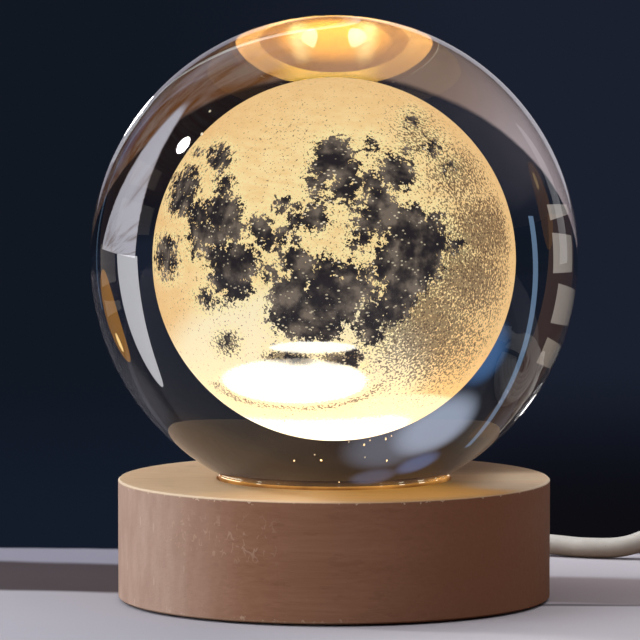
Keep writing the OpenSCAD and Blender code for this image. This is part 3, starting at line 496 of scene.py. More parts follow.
def seenPlaces(directions, s):
    # where each direction of the moon's surface shows in the ball, by refraction at the ball's skin
    toCamera = (Vector(cameraSet["place"]) - ballMiddle).normalized()
    across = Vector((0, 0, 1)).cross(toCamera).normalized()
    above = toCamera.cross(across)
    turn = np.arccos(np.clip(directions @ np.array(toCamera), -1, 1))
    steps = np.linspace(0, 1, 400)
    b = steps * s["seenRadius"]
    ball, glass = ballSet["radius"], ballSet["radius"] * ballSet["ior"]
    reach = np.arcsin(b / s["seenRadius"]) + np.arcsin(b / ball) - np.arcsin(b / glass)
    seen = np.interp(turn, reach, steps) + np.maximum(turn - reach[-1], 0) * 0.5    # past the limb it runs on
    side = np.stack([directions @ np.array(across), directions @ np.array(above)], axis=1)
    side /= np.maximum(np.linalg.norm(side, axis=1, keepdims=True), 1e-9)
    return side * seen[:, None], seen


def paintMoon(piece, s):
    # masks kept on the points, which the material breaks up into specks
    count = len(piece.data.vertices)
    place = np.zeros(count * 3)
    piece.data.vertices.foreach_get("co", place)
    directions = place.reshape(-1, 3) - np.array(ballMiddle)
    directions /= np.linalg.norm(directions, axis=1, keepdims=True)
    seen, reach = seenPlaces(directions, s)

    def awayFrom(right, up, wide=1, high=1):
        return np.hypot((seen[:, 0] - right) / wide, (seen[:, 1] - up) / high)

    plain = np.full(count, -0.1)
    for right, up, radius, depth in s["plains"]:
        away = awayFrom(right, up)
        radius += s["grow"] if depth >= 0.5 else 0
        plain = np.maximum(plain, np.where(away < radius, depth, 1) * (radius - away))
    for lon, lat, half in s["farPlains"]:
        lon, lat, half = (math.radians(a) for a in (lon, lat, half))
        spot = np.array((math.sin(lon) * math.cos(lat), -math.cos(lon) * math.cos(lat), math.sin(lat)))
        away = np.arccos(np.clip(directions @ spot, -1, 1))
        plain = np.maximum(plain, 0.8 * (half - away))
    stipple = np.zeros(count)
    for right, up, radius, strength in s["stipple"]:
        away = awayFrom(right, up, radius, radius)
        stipple = np.maximum(stipple, strength * np.clip(1.25 - away * 1.1, 0, 1))
    hot = np.zeros(count)
    for right, up, wide, high, strength in s["hot"]:
        away = awayFrom(right, up, wide, high)
        hot = np.maximum(hot, strength * np.clip((1.15 - away) / 0.3, 0, 1))
    low, height, rise, end = s["hotRim"]
    rim = np.clip((height + rise * (seen[:, 0] - low) ** 2 - seen[:, 1]) / 0.07, 0, 1)
    rim *= np.clip((end - seen[:, 0]) / 0.2, 0, 1)
    hot = np.maximum(hot, np.where(reach > 1, np.clip((-directions[:, 2] - 0.80) / 0.08, 0, 1), rim))
    right, up, wide, high = s["hotBelt"]
    away = np.abs(awayFrom(right, up, wide, high) - 1)
    belt = np.clip(1.6 - away * 16, 0, 1) * (seen[:, 1] < up - 0.03)
    hot = np.where(belt > 0, np.maximum(hot - 0.75 * belt, 0.24), hot)
    stipple = np.maximum(stipple, 0.6 * belt)
    arc = np.zeros(count)
    for right, up, wide, high in s["arcs"]:
        arc = np.maximum(arc, np.clip(1.5 - awayFrom(right, up, wide, high), 0, 1))
    for name, values in (("plain", plain), ("stipple", stipple), ("hot", hot), ("arc", arc),
                         ("limb", np.minimum(reach, 1))):
        layer = piece.data.attributes.new(name, "FLOAT", "POINT")
        layer.data.foreach_set("value", values.astype(np.float32))


def makeMoonMaterial(s):
    material, shader, where = newMaterial("litEngraving", {"Emission Strength": 1.0, "Roughness": 0.9,
                                                           "Specular IOR Level": 0.0})

    def layer(name):
        return addNode(material.node_tree, "Attribute", attribute_name=name).outputs["Fac"]

    plain, stipple, hot, arc, limb = (layer(name) for name in ("plain", "stipple", "hot", "arc", "limb"))
    ragged = addNoise(where, 1350, 2, 0.6)
    fine = addNoise(where, 4300, 1.5, 0.6)
    # plains with ragged, speckled shores and pale salt specks
    shore = addTimesPlus(addMinus(ragged, 0.5), 0.17, plain)
    shore = addTimesPlus(addMinus(fine, 0.5), 0.10, shore)
    dark = addStep(shore, -0.002, 0.004)
    slanted = addMapping(where, (0, -40, 0), (0.55, 1, 1))
    lone = addMask("specks", slanted, Scale=2900, Density=0.18, Size=0.40)
    inner = addStep(plain, 0.055, 0.02)
    salt = addTimes(lone, addTimesPlus(inner, 0.5, 0.5))
    # highlands: cream, with painted warm shade more orange towards the limb, in fine wrinkles
    wrinkle = addMask("streaks", where, Stretch=(0.45, 0.45, 1.6), Scale=900, Contrast=2.6)
    dots = addMask("specks", where, Scale=2900, Density=0.75, Size=0.55)
    cream = addMix(wrinkle, s["cream"], s["creamDeep"])
    edge = addStep(limb, 0.6, 1.0)
    cream = addMix(edge, cream, s["limb"], 0.7)
    cream = addMix(addStep(hot, 0.0, 0.3), cream, s["hotTone"])
    near = addStep(plain, -0.09, -0.005)
    pale = addTimes(near, addStep(fine, 0.42, 0.56))
    cream = addMix(pale, cream, s["shore"], 0.75)
    # brown stipple, densest to the lower right, and arcs of it across the hot spots
    dense = addMath("MAXIMUM", stipple, addTimes(arc, 1.3))
    dense = addTimes(dense, addStep(limb, 1.0, 0.93))
    sand = addNoise(where, 3500, 1, 0.6)
    grain = addStep(addTimesPlus(dense, 0.34, sand), 0.68, 0.74)
    brown = addTimes(grain, addTimesPlus(dots, 0.2, 0.75))
    cream = addMix(brown, cream, s["brown"])
    # the plains' own soft patches
    patch = addMask("mottle", where, Scale=380, Contrast=4.0)
    night = addMix(addTimes(patch, patch), s["night"], s["nightPale"])
    colour = addMix(dark, cream, addMix(salt, night, s["salt"]))
    # white-hot where the LEDs' light strikes it
    glare = addTimesPlus(addMinus(fine, 0.5), 0.9, hot)
    glare = addStep(glare, 0.38, 0.75)
    glare = addTimes(glare, addTimesPlus(arc, -0.8, 1.0), clamp=True)
    colour = addMix(glare, colour, s["whiteHot"])
    # inside the glass its own faint reflections are weaker than a plain surface would give
    again = addStep(addNode(material.node_tree, "LightPath").outputs["Ray Depth"], 1.4, 1.6, smooth=False)
    lit = addMix(again, colour, black, 0.75)
    # painted light: the engraving's whole pattern glows, as if lit by the LEDs
    feed(shader, glow=lit, baseColour=addMix(0.85, colour, black))
    return material


def makeMoon(s):
    mesh = bmesh.new()
    bmesh.ops.create_icosphere(mesh, subdivisions=s["fineness"], radius=s["radius"])
    bmesh.ops.translate(mesh, verts=mesh.verts, vec=ballMiddle)
    piece = finishMesh("moonEngraving", mesh)
    paintMoon(piece, s)
    return placePiece(piece, "ball", ["engraved_moon"], makeMoonMaterial(s))


moonEngraving = makeMoon(moonSet)
print("lamp: moon engraved,", len(moonEngraving.data.polygons), "faces")


straySet = {
    "size": (0.00010, 0.00022), "seed": 7, "pale": tone(255, 240, 214), "deep": tone(170, 150, 128),
    # right, front and height from the ball's middle, mm
    "places": [(-7.5, -14, -20.5), (1.2, -10, -22.6), (-0.4, -11, -22.2), (3.2, -9, -22.8), (3.9, -10, -22.4),
               (-3.1, -9, -24.5), (-2.2, -8, -25.1), (3.4, -6, -24.0), (6.6, -9, -21.6), (5.9, -9, -22.0),
               (6.2, -7, -25.0), (0.3, -5, -28.2), (-5.4, -6, -24.8), (-12.3, 8, 14.8), (-13.6, 6, 12.9)],
}


def makeStrays(s):
    chance = random.Random(s["seed"])
    mesh = bmesh.new()
    for place in s["places"]:
        size = chance.uniform(*s["size"])
        at = ballMiddle + Vector(place) * mm
        turn = Matrix.Rotation(chance.uniform(0, 3), 4, "X") @ Matrix.Rotation(chance.uniform(0, 3), 4, "Z")
        bmesh.ops.create_icosphere(mesh, subdivisions=1, radius=size,
                                   matrix=Matrix.Translation(at) @ turn @ Matrix.Diagonal((1, 0.6, 1.4, 1)))
    # the points glow with painted light, brighter and dimmer at random
    material, shader, where = newMaterial("strayPoint", {"Emission Strength": 0.8, "Roughness": 0.5})
    glint = addMask("mottle", where, Scale=4000, Contrast=3.0)
    colour = addMix(glint, s["pale"], s["deep"])
    feed(shader, glow=colour, baseColour=colour)
    return placePiece(finishMesh("strayPoints", mesh, smooth=False), "ball", [], material)


makeStrays(straySet)
print("lamp: stray points placed,", len(straySet["places"]))


# the cord's end inside the base, its cut face set back a little in the jacket
innerSet = {
    "thickness": 0.0035, "from": 0.0019, "to": 0.04461, "height": 0.007, "segments": 40, "steps": 6,
    "jacket": 0.00045, "wiresBack": 0.0001, "edgeAngle": 40,
}


def makeInnerCord(s):
    mesh = bmesh.new()
    lay = Matrix.Translation((0, s["from"], s["height"])) @ Matrix.Rotation(math.radians(90), 4, "X")
    circle = bmesh.ops.create_circle(mesh, cap_ends=True, segments=s["segments"], radius=s["thickness"] / 2,
                                     matrix=lay)
    face = circle["verts"][0].link_faces[0]
    bmesh.ops.inset_region(mesh, faces=[face], thickness=s["jacket"], depth=-s["wiresBack"])
    rim = [e for e in mesh.edges if e.is_boundary]
    rim = pullEdges(mesh, rim, (0, s["to"] - s["from"], 0), s["steps"])
    bmesh.ops.holes_fill(mesh, edges=rim, sides=s["segments"])
    bmesh.ops.recalc_face_normals(mesh, faces=mesh.faces)
    piece = finishMesh("cordInside", mesh)
    sharpenEdges(piece, s["edgeAngle"])
    return placePiece(piece, "base", ["cord_inner_end"], finishes["cordVinyl"])


makeInnerCord(innerSet)


# the red and black wires from the cord's end up to the board
leadSet = {
    "thickness": 0.0011,
    "route": [  # mm, one wire; the other is its mirror image
        (0.65, 1.897, 7), (0.65, 0.897, 7), (0.65, 0.2, 7.25), (0.65, -0.303, 7.7), (0.65, -0.8, 8.3),
        (0.65, -1.103, 9), (0.65, -1.08, 9.9), (0.65, -1, 10.8), (0.65, -1, 12.2), (0.65, -1, 13.4),
        (0.85, -1.3, 14.15), (1.25, -2.2, 14.6), (2.0, -3.3, 14.6), (2.4, -3.7, 14.25), (2.4, -4.7, 13.98),
    ],
}
for side, name, slotName, finish in ((1, "positive_lead", "wire_red", "wireRed"),
                                     (-1, "negative_lead", "wire_black", "wireBlack")):
    route = [(side * x, y, z) for x, y, z in leadSet["route"]]
    wire = makeCurve("leadRed" if side > 0 else "leadBlack", route, leadSet["thickness"], 4)
    placePiece(wire, "base", [name], finishes[finish])
print("lamp: inner cord and leads made")


# strap round the coil of spare cord
strapSet = {"middle": (0.090, -0.0099, 0.00455), "size": (0.0213, 0.0091), "thickness": 0.0006, "wide": 0.004,
            "corner": 0.0018, "edge": 0.00012, "tailLength": 0.0085, "tailThickness": 0.0004,
            "tailCorner": 0.0012, "tailShift": 0.001, "tailSunk": 0.0002, "steps": 4, "edgeAngle": 40,
            "pale": tone(74, 76, 80), "deep": tone(30, 31, 34), "worn": tone(52, 50, 48)}


def makeStrap(s):
    mesh = bmesh.new()
    lay = Matrix.Translation(s["middle"]) @ Matrix.Rotation(math.radians(90), 4, "Y")
    bmesh.ops.create_grid(mesh, x_segments=1, y_segments=1, size=0.5,
                          matrix=lay @ Matrix.Diagonal((s["size"][1], s["size"][0], 1, 1)))
    bmesh.ops.bevel(mesh, geom=list(mesh.verts), offset=s["corner"], segments=8, profile=0.5,
                    affect="VERTICES", material=-1)
    bmesh.ops.delete(mesh, geom=list(mesh.faces), context="FACES_ONLY")
    bmesh.ops.translate(mesh, verts=mesh.verts, vec=(-s["wide"] / 2, 0, 0))
    pullEdges(mesh, list(mesh.edges), (s["wide"], 0, 0), s["steps"])
    bmesh.ops.recalc_face_normals(mesh, faces=mesh.faces)
    middle = Vector(s["middle"])
    mesh.faces.ensure_lookup_table()
    first = mesh.faces[0]
    if first.normal.dot(first.calc_center_median() - middle) < 0:
        bmesh.ops.reverse_faces(mesh, faces=mesh.faces)
    bmesh.ops.solidify(mesh, geom=list(mesh.faces), thickness=s["thickness"])
    edges = [e for e in mesh.edges if len(e.link_faces) == 2 and e.calc_face_angle(0) > 1.2]
    bmesh.ops.bevel(mesh, geom=edges, offset=s["edge"], segments=2, profile=0.5, affect="EDGES", material=-1)
    # the free end, pressed flat on top
    tailUp = (s["size"][1] + s["tailThickness"]) / 2 - s["tailSunk"]
    lay = Matrix.Translation(middle + Vector((0, s["tailShift"], tailUp)))
    shape = Matrix.Diagonal((s["wide"] * 0.92, s["tailLength"], s["tailThickness"], 1))
    tail = bmesh.ops.create_cube(mesh, size=1, matrix=lay @ shape)["verts"]
    corners = [e for v in tail for e in v.link_edges if abs((e.verts[0].co - e.verts[1].co).z) > 1e-6]
    bmesh.ops.bevel(mesh, geom=list(set(corners)), offset=s["tailCorner"], segments=5, profile=0.5,
                    affect="EDGES", material=-1)
    piece = finishMesh("coilStrap", mesh)
    sharpenEdges(piece, s["edgeAngle"])
    return piece


def makeStrapMaterial(s):
    # hook and loop tape: a woven ground with small loops
    material, shader, where = newMaterial("loopTape", {"Sheen Weight": 0.25, "Sheen Roughness": 0.5})
    loops = addNode(material.node_tree, "TexVoronoi", {"Vector": where, "Scale": 3200, "Randomness": 0.7})
    ribs = addNode(material.node_tree, "TexWave", {"Vector": where, "Scale": 900, "Distortion": 1.2},
                   bands_direction="X")
    blotch = addMask("mottle", where, Scale=500, Contrast=2.5)
    mask = addTimes(loops.outputs["Distance"], 1.3, clamp=True)
    colour = addMix(mask, s["pale"], s["deep"])
    colour = addMix(blotch, colour, s["worn"], 0.4)
    feed(shader, baseColour=colour)
    feedRough(shader, loops.outputs["Distance"], 0.7, 0.95)
    height = addTimesPlus(ribs.outputs["Fac"], 0.4, loops.outputs["Distance"])
    feedBump(shader, height, 0.8, 0.00012)
    return material


coilStrap = placePiece(makeStrap(strapSet), "base", ["coil_tie"], makeStrapMaterial(strapSet))
print("lamp: strap tied")


# turned, moulded and wound CAD parts get a copy with merged points, so that their round walls shade smoothly
mergeSet = {"distance": 0.000002, "edgeAngle": 32}
smoothSet = {
    "wooden_base": ("woodenBase", "base", "wood", None),
    "led_board": ("ledBoard", "base", "board_white", None),
    "anti_slip_pad": ("antiSlipPad", "base", "pad_foam", "padFoam"),
    "cable_grommet": ("cableGrommet", "base", "cord_white", "plugGrip"),
    "switch_lower_shell": ("switchLowerShell", "base", "switch_white", "switchShell"),
    "switch_upper_shell": ("switchUpperShell", "base", "switch_white", "switchShell"),
    "switch_button": ("switchButton", "button", "button_white", "buttonCap"),
    "plug_grip": ("plugGrip", "base", "plug_white", "plugGrip"),
    "plug_shell": ("plugShell", "base", "plug_steel", "plugSteel"),
    "switch_spring": ("switchSpring", "base", "spring_steel", "springSteel"),
}
pieces = {}
for node, (name, body, slotName, finish) in smoothSet.items():
    mesh = bmesh.new()
    mesh.from_mesh(nodes[node].data)
    bmesh.ops.remove_doubles(mesh, verts=mesh.verts, dist=mergeSet["distance"])
    pieces[name] = finishMesh(name, mesh)
    sharpenEdges(pieces[name], mergeSet["edgeAngle"])
    placePiece(pieces[name], body, [node], finishes[finish] if finish else None)
print("lamp: turned parts smoothed,", len(pieces))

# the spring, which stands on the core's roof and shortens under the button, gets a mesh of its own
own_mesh(pieces["switchSpring"])


# the LEDs' circle, which the lit wood, ring and board share
ledSet = {"count": 8, "firstAt": -70.5}    # degrees from +X


woodSet = {
    # the side's fibres, browner to the right as painted shade, and the paler cut fibre ends, their paleness
    # painted light from the left
    "sidePale": tone(180, 134, 109), "sideMid": tone(162, 116, 92), "sideDeep": tone(126, 84, 64),
    "sideRightShade": tone(160, 106, 80),
    "endPale": tone(208, 182, 168), "endMid": tone(186, 158, 144), "endDeep": tone(158, 130, 116),
    "fleck": tone(232, 214, 200),
    "topPale": tone(250, 220, 182), "topMid": tone(236, 201, 161), "topDeep": tone(192, 152, 112),
    "shade": tone(122, 82, 50),
    "scratch": tone(226, 196, 174), "wear": tone(238, 218, 192), "chip": tone(222, 198, 176),
    # metres
    "radius": 0.0355, "height": 0.020, "corner": 0.00045, "scratchHeight": 0.0135, "chipDepth": 0.0005,
    # degrees from +X: the way the fibres run, and where each patch has its middle
    "grainTurn": -8, "scratchAt": -127, "chipsAt": -125, "shadeFrontAt": -58, "shadeBackAt": 65,
    "glowAt": -80, "clearAt": -14,
    # amber light on the top, and plain light at the far right
    "glow": (0.80, 0.34, 0.02), "glowLevel": 0.36, "glowFrom": 0.0460, "glowTo": 0.0300,
    "openGlow": (0.20, 0.16, 0.12),
    # the pocket's lit wall, with a halo round each LED
    "pocket": (14.0, 5.9, 0.60), "pocketTop": (3.6, 1.5, 0.30), "pocketHalo": (12.0, 8.0, 2.8),
    "pocketRadius": 0.01755, "pocketFloor": 0.0118, "pocketFade": (0.0142, 0.0168),
    "ledRadius": 0.0160, "ledHeight": 0.0146, "halo": (0.0004, 0.0036), "spill": 0.04, "direct": 0.12,
}


def addLedHalo(around, z, s):
    # nearness to the closest LED, by folding the circle into one LED's share
    share = 2 * math.pi / ledSet["count"]
    turn = addMinus(around, math.radians(ledSet["firstAt"]))
    sideways = addTimes(addMath("WRAP", turn, share / 2, -share / 2), s["ledRadius"])
    near, far = s["halo"]
    return addStep(addLength(sideways, addMinus(z, s["ledHeight"])), far, near)


def addPocketLight(colour, s):
    # full strength only where the ball mirrors it, as a photo set for the dim room shows it
    path = addNode(treeOf(colour), "LightPath").outputs
    depth = path["Ray Depth"]
    mirrored = addTimes(addStep(depth, 2.4, 2.6, smooth=False), addStep(depth, 3.6, 3.4, smooth=False))
    direct = addMix(1 - s["direct"], colour, black)
    colour = addMix(mirrored, direct, colour)
    spilled = addMix(1 - s["spill"], colour, black)
    return addMix(path["Is Diffuse Ray"], colour, spilled)


def makeWood(s):
    material, shader, where = newMaterial("sandedWood", {"Emission Strength": 1.0,
                                                         "Specular IOR Level": 0.3})
    turned = addMapping(where, (0, 0, -s["grainTurn"]))
    x, y, z = addXyz(where)
    across = addXyz(turned)[0]
    radius = addLength(x, y)
    onTop = addStep(z, s["height"] - 0.0004, s["height"] - 0.0001)
    # long fibres on the top, front and back; cut fibre ends only at the left, paler there as painted light;
    # the side browner at the right as painted shade
    aside = addMath("DIVIDE", across, radius)
    # painted light: paler cut fibre ends on the left side only
    litEndGrain = addStep(aside, -0.25, -0.85)
    fine = addMask("streaks", turned, Stretch=(0.05, 1, 1), Scale=1500, Contrast=3.0)
    growth = addMask("streaks", turned, Stretch=(0.03, 0.3, 1), Scale=190, Contrast=2.6)
    dashes = addMask("streaks", turned, Stretch=(0.16, 1, 1), Scale=900, Contrast=3.0)
    dashes = addStep(dashes, 0.74, 0.92)
    patch = addMask("mottle", where, Scale=60, Contrast=1.8)
    cloth = addMapping(where, scale=(1, 1, 0.3))
    flecks = addMask("specks", cloth, Scale=1050, Density=0.10, Size=0.30)
    pores = addMask("specks", where, Scale=2100, Density=0.30, Size=0.34)
    blur = addMask("mottle", cloth, Scale=330, Contrast=2.4)
    mask = addTimesPlus(fine, 0.55, addTimes(growth, 0.45))
    side = addMix(mask, s["sidePale"], s["sideMid"])
    side = addMix(dashes, side, s["sideDeep"], 0.22)
    ends = addMix(blur, s["endPale"], s["endMid"])
    ends = addMix(pores, ends, s["endDeep"], 0.18)
    ends = addMix(flecks, ends, s["fleck"], 0.35)
    # painted shade: the side browner towards the right
    side = addMix(addStep(aside, 0.1, 0.8), side, s["sideRightShade"], 0.75)
    wall = addMix(litEndGrain, side, ends)

    def facing(degrees):
        right, back = math.cos(math.radians(degrees)), math.sin(math.radians(degrees))
        return addMath("DIVIDE", addTimesPlus(x, right, addTimes(y, back)), radius)

    # fine pale scratches at the front left
    level = addGap(z, s["scratchHeight"])
    patchOf = addTimes(addStep(facing(s["scratchAt"]), 0.925, 0.985), addStep(level, 0.0052, 0.0016))
    bent = addMapping(where, (0, 22.9183, 0), (1, 1, 0.55))
    curl = addNoise(bent, 620, 1.5, 0.55)
    broken = addNoise(where, 850, 1)
    scratches = addStep(addGap(curl, 0.5), 0.035, 0.010)
    scratches = addTimes(scratches, addStep(broken, 0.50, 0.58))
    scratches = addTimes(scratches, patchOf)
    wall = addMix(scratches, wall, s["scratch"], 0.40)
    top = addMix(mask, s["topPale"], s["topMid"])
    top = addMix(dashes, top, s["topDeep"], 0.3)
    colour = addMix(onTop, wall, top)
    colour = addMix(patch, colour, s["sideMid"], 0.22)
    # pale wear on the corner, chipped downwards here and there
    depth = addMinus(s["radius"] + s["height"], addMath("ADD", radius, z))
    chips = addNoise(where, 1300, 2)
    chips = addTimes(addStep(chips, 0.58, 0.74), s["chipDepth"])
    wear = addStep(addMinus(depth, chips), s["corner"], s["corner"] * 0.55)
    colour = addMix(wear, colour, s["wear"], 0.75)
    # small chips along the lower edge at the left
    foot = addMath("ADD", addMinus(s["radius"], radius), addMinus(z, 0.0004))
    worn = addStep(addTimesPlus(chips, -2.2, foot), s["corner"], 0.0001)
    worn = addTimes(worn, addStep(facing(s["chipsAt"]), 0.72, 0.9))
    colour = addMix(worn, colour, s["chip"], 0.45)
    # the ball's shadow, deepest at the front right and behind
    dim = addTimes(addStep(facing(s["shadeFrontAt"]), 0.66, 0.95), 0.8)
    dim = addMath("MAXIMUM", dim, addStep(facing(s["shadeBackAt"]), 0.45, 0.95))
    colour = addMix(addTimes(dim, onTop), colour, s["shade"], 0.8)
    # amber light that leaves the seat over the top, strongest at the front
    level = addStep(facing(s["glowAt"]), 0.45, 0.98)
    near = addStep(radius, s["glowFrom"], s["glowTo"])
    level = addTimes(addTimes(level, near), onTop)
    level = addTimes(level, addTimesPlus(mask, -0.25, 1.1))
    lit = addMix(level, black, s["glow"], s["glowLevel"])
    # the far right of the top, which the ball leaves in the light
    clear = addTimes(addStep(facing(s["clearAt"]), 0.86, 0.97), addStep(radius, 0.021, 0.031))
    lit = addMix(addTimes(clear, onTop), lit, s["openGlow"])
    # the pocket's wall, flooded by the LEDs
    halo = addLedHalo(addMath("ARCTAN2", y, x), z, s)
    pocket = addMix(addStep(z, *s["pocketFade"]), s["pocket"], s["pocketTop"])
    pocket = addMix(addTimes(halo, halo), pocket, s["pocketHalo"])
    inPocket = addTimes(addStep(radius, s["pocketRadius"] + 0.0001, s["pocketRadius"] - 0.0001),
                        addStep(z, s["pocketFloor"], s["pocketFloor"] + 0.0006))
    lit = addMix(inPocket, lit, addPocketLight(pocket, s))
    feed(shader, baseColour=colour, glow=lit)
    feedRough(shader, mask, 0.50, 0.70)
    relief = addTimesPlus(flecks, -0.6, addTimesPlus(pores, -0.3, fine))
    relief = addTimesPlus(scratches, 0.9, relief)
    feedBump(shader, relief, 0.4, 0.00004)
    return material


dress(pieces["woodenBase"], makeWood(woodSet))


# soft clear ring that the ball stands on, with a rounded lip
ringSet = {
    "profile": [  # mm, radius and height
        (16.49, 17.9), (16.19, 18.2), (16.19, 19.26), (16.8, 19.54), (17.4, 19.82), (18, 20.12),
        (18.5, 20.38), (18.7, 20.5), (18.86, 20.52), (18.98, 20.44), (19.04, 20.26), (19.04, 18.0),
        (18.94, 17.9),
    ],
    "steps": 160, "edgeAngle": 50, "pale": tone(128, 88, 52), "deep": tone(104, 68, 40),
    "dim": (0.10, 0.038, 0.008), "bright": (0.62, 0.28, 0.06), "glint": (1.6, 1.4, 1.0),
    # degrees, where the lip shows as one painted bright line, and how far its two ends fade
    "lineFrom": -178, "lineTo": -128, "lineFade": (12, 14),
    # the part of it that the ball mirrors, with a brighter painted glow
    "inside": (6.0, 2.9, 0.72), "insideFront": (13.5, 7.7, 1.2), "insideRadius": 0.0178,
}


def makeRing(s):
    mesh = bmesh.new()
    points = [mesh.verts.new((r * mm, 0, h * mm)) for r, h in s["profile"]]
    rim = [mesh.edges.new((a, b)) for a, b in zip(points, points[1:] + points[:1])]
    bmesh.ops.spin(mesh, geom=points + rim, cent=(0, 0, 0), axis=(0, 0, 1), angle=2 * math.pi,
                   steps=s["steps"], use_merge=True)
    bmesh.ops.recalc_face_normals(mesh, faces=mesh.faces)
    piece = finishMesh("seatRing", mesh)
    sharpenEdges(piece, s["edgeAngle"])
    return piece


def makeRingMaterial(s):
    # clear silicone, glowing with painted light from below: brighter over each LED, with small painted glints
    # on the lip
    material, shader, where = newMaterial("litSilicone", {"Emission Strength": 1.0, "IOR": 1.41,
                                                          "Specular IOR Level": 0.15})
    x, y, z = addXyz(where)
    around = addMath("ARCTAN2", y, x)
    count = ledSet["count"]
    wave = addMath("COSINE", addTimesPlus(around, count, -math.radians(ledSet["firstAt"]) * count))
    wobble = addNoise(where, 260, 3)
    level = addTimesPlus(wave, 0.2, 0.4)
    level = addTimes(level, addStep(wobble, 0.25, 0.75))
    level = addTimesPlus(addStep(z, 0.0201, 0.0205), 0.45, level)
    glintNoise = addNoise(where, 420, 1)
    starts = [math.radians(s["lineFrom"] + a) for a in (0, s["lineFade"][0])]
    ends = [math.radians(s["lineTo"] - a) for a in (0, s["lineFade"][1])]
    onLine = addTimes(addStep(around, *starts), addStep(around, *ends))
    glintNoise = addTimesPlus(onLine, 0.2, glintNoise)
    lip = addTimes(addStep(z, 0.02042, 0.02050), addStep(glintNoise, 0.56, 0.64))
    glow = addMix(level, s["dim"], s["bright"])
    glow = addMix(lip, glow, s["glint"])
    path = addNode(material.node_tree, "LightPath").outputs
    away = addLength(x, y)
    mirrored = addTimes(addStep(path["Ray Depth"], 2.4, 2.6, smooth=False),
                        addStep(away, s["insideRadius"] + 0.0001, s["insideRadius"] - 0.0001))
    front = addStep(addMath("DIVIDE", y, away), -0.72, -0.97)
    glow = addMix(mirrored, glow, addMix(front, s["inside"], s["insideFront"]))
    glow = addMix(path["Is Diffuse Ray"], glow, s["dim"])
    feed(shader, glow=glow)
    blotch, grain = addGroup("mottle", where, Scale=300, Contrast=2).outputs
    feed(shader, baseColour=addMix(blotch, s["pale"], s["deep"]))
    feedRough(shader, grain, 0.12, 0.3)
    feedBump(shader, wobble, 0.3, 0.00005)
    return material


placePiece(makeRing(ringSet), "base", ["seat_ring"], makeRingMaterial(ringSet))


# the board and its LEDs, which light the pocket under the ball
boardSet = {
    "mask": tone(240, 238, 228), "trace": tone(222, 216, 198), "worn": tone(206, 198, 176),
    "cupPale": tone(240, 238, 226), "cupDeep": tone(226, 222, 206),
    "glow": (20.0, 10.0, 3.2), "glowLow": (11.0, 4.8, 1.2), "ledGlow": (70.0, 44.0, 14.0),
    "cup": (240.0, 205.0, 96.0),
    "ledRadius": 0.01354, "ledHeight": 0.0134, "halo": (0.0012, 0.0055), "spill": 0.10, "direct": 0.12,
}


def makeBoardMaterial(s):
    # white solder mask over copper: rings of trace with gaps
    material, shader, where = newMaterial("whiteBoard", {"Emission Strength": 1.0, "Coat Weight": 0.3,
                                                         "Coat Roughness": 0.2})
    x, y, z = addXyz(where)
    radius, around = addLength(x, y), addMath("ARCTAN2", y, x)
    halo = addLedHalo(around, z, s)
    rings = addMath("ABSOLUTE", addMath("SINE", addTimes(radius, 1500)))
    gaps = addMath("ABSOLUTE", addMath("SINE", addTimes(around, 4)))
    trace = addTimes(addStep(rings, 0.3, 0.36), addStep(gaps, 0.08, 0.12))
    blotch, grain = addGroup("mottle", where, Scale=300, Contrast=2).outputs
    colour = addMix(trace, s["mask"], s["trace"])
    colour = addMix(blotch, colour, s["worn"], 0.2)
    feed(shader, baseColour=colour)
    # painted LED light on the board's mask, brightest round each LED
    level = addTimesPlus(addStep(radius, 0.002, 0.013), 0.75, addTimes(blotch, 0.25))
    glow = addMix(level, s["glowLow"], s["glow"])
    glow = addMix(addTimes(halo, halo), glow, s["ledGlow"])
    feed(shader, glow=addPocketLight(glow, s))
    feedRough(shader, grain, 0.25, 0.45)
    feedBump(shader, trace, 0.4, 0.00003)
    return material


def makeCupMaterial(s):
    # moulded white cups, flooded with their own light
    material, shader, where = newMaterial("litLedCup", {"Emission Strength": 1.0, "Roughness": 0.4})
    blotch, grain = addGroup("mottle", where, Scale=500, Contrast=2.2).outputs
    light = addPocketLight(addMix(blotch, s["cup"], s["ledGlow"]), s)
    feed(shader, baseColour=addMix(blotch, s["cupPale"], s["cupDeep"]), glow=light)
    feedBump(shader, grain, 0.4, 0.00001)
    return material


dress(pieces["ledBoard"], makeBoardMaterial(boardSet))
dress(nodes["led_bodies"], makeCupMaterial(boardSet))


windowSet = {"middle": (620.0, 580.0, 330.0), "outer": (520.0, 440.0, 180.0), "spill": 0.03, "direct": 0.02,
             "pale": tone(250, 214, 96), "deep": tone(240, 188, 60)}


def makeWindowMaterial(s):
    material, shader, where = newMaterial("litPhosphor", {"Emission Strength": 1.0, "Roughness": 0.4})
    cells = addMask("specks", where, Scale=2600, Density=0.6, Size=0.5)
    blotch, grain = addGroup("mottle", where, Scale=900, Contrast=2.4).outputs
    level = addTimesPlus(cells, 0.3, addTimes(blotch, 0.5))
    light = addPocketLight(addMix(level, s["middle"], s["outer"]), s)
    feed(shader, baseColour=addMix(level, s["pale"], s["deep"]), glow=light)
    feedBump(shader, grain, 0.4, 0.00002)
    return material


dress(nodes["led_windows"], makeWindowMaterial(windowSet))


resistorSet = {"cap": 0.0011, "capEdge": 0.00004, "body": tone(26, 26, 29), "bodyPale": tone(44, 44, 48),
               "tin": tone(206, 207, 208), "tinDeep": tone(160, 161, 165)}


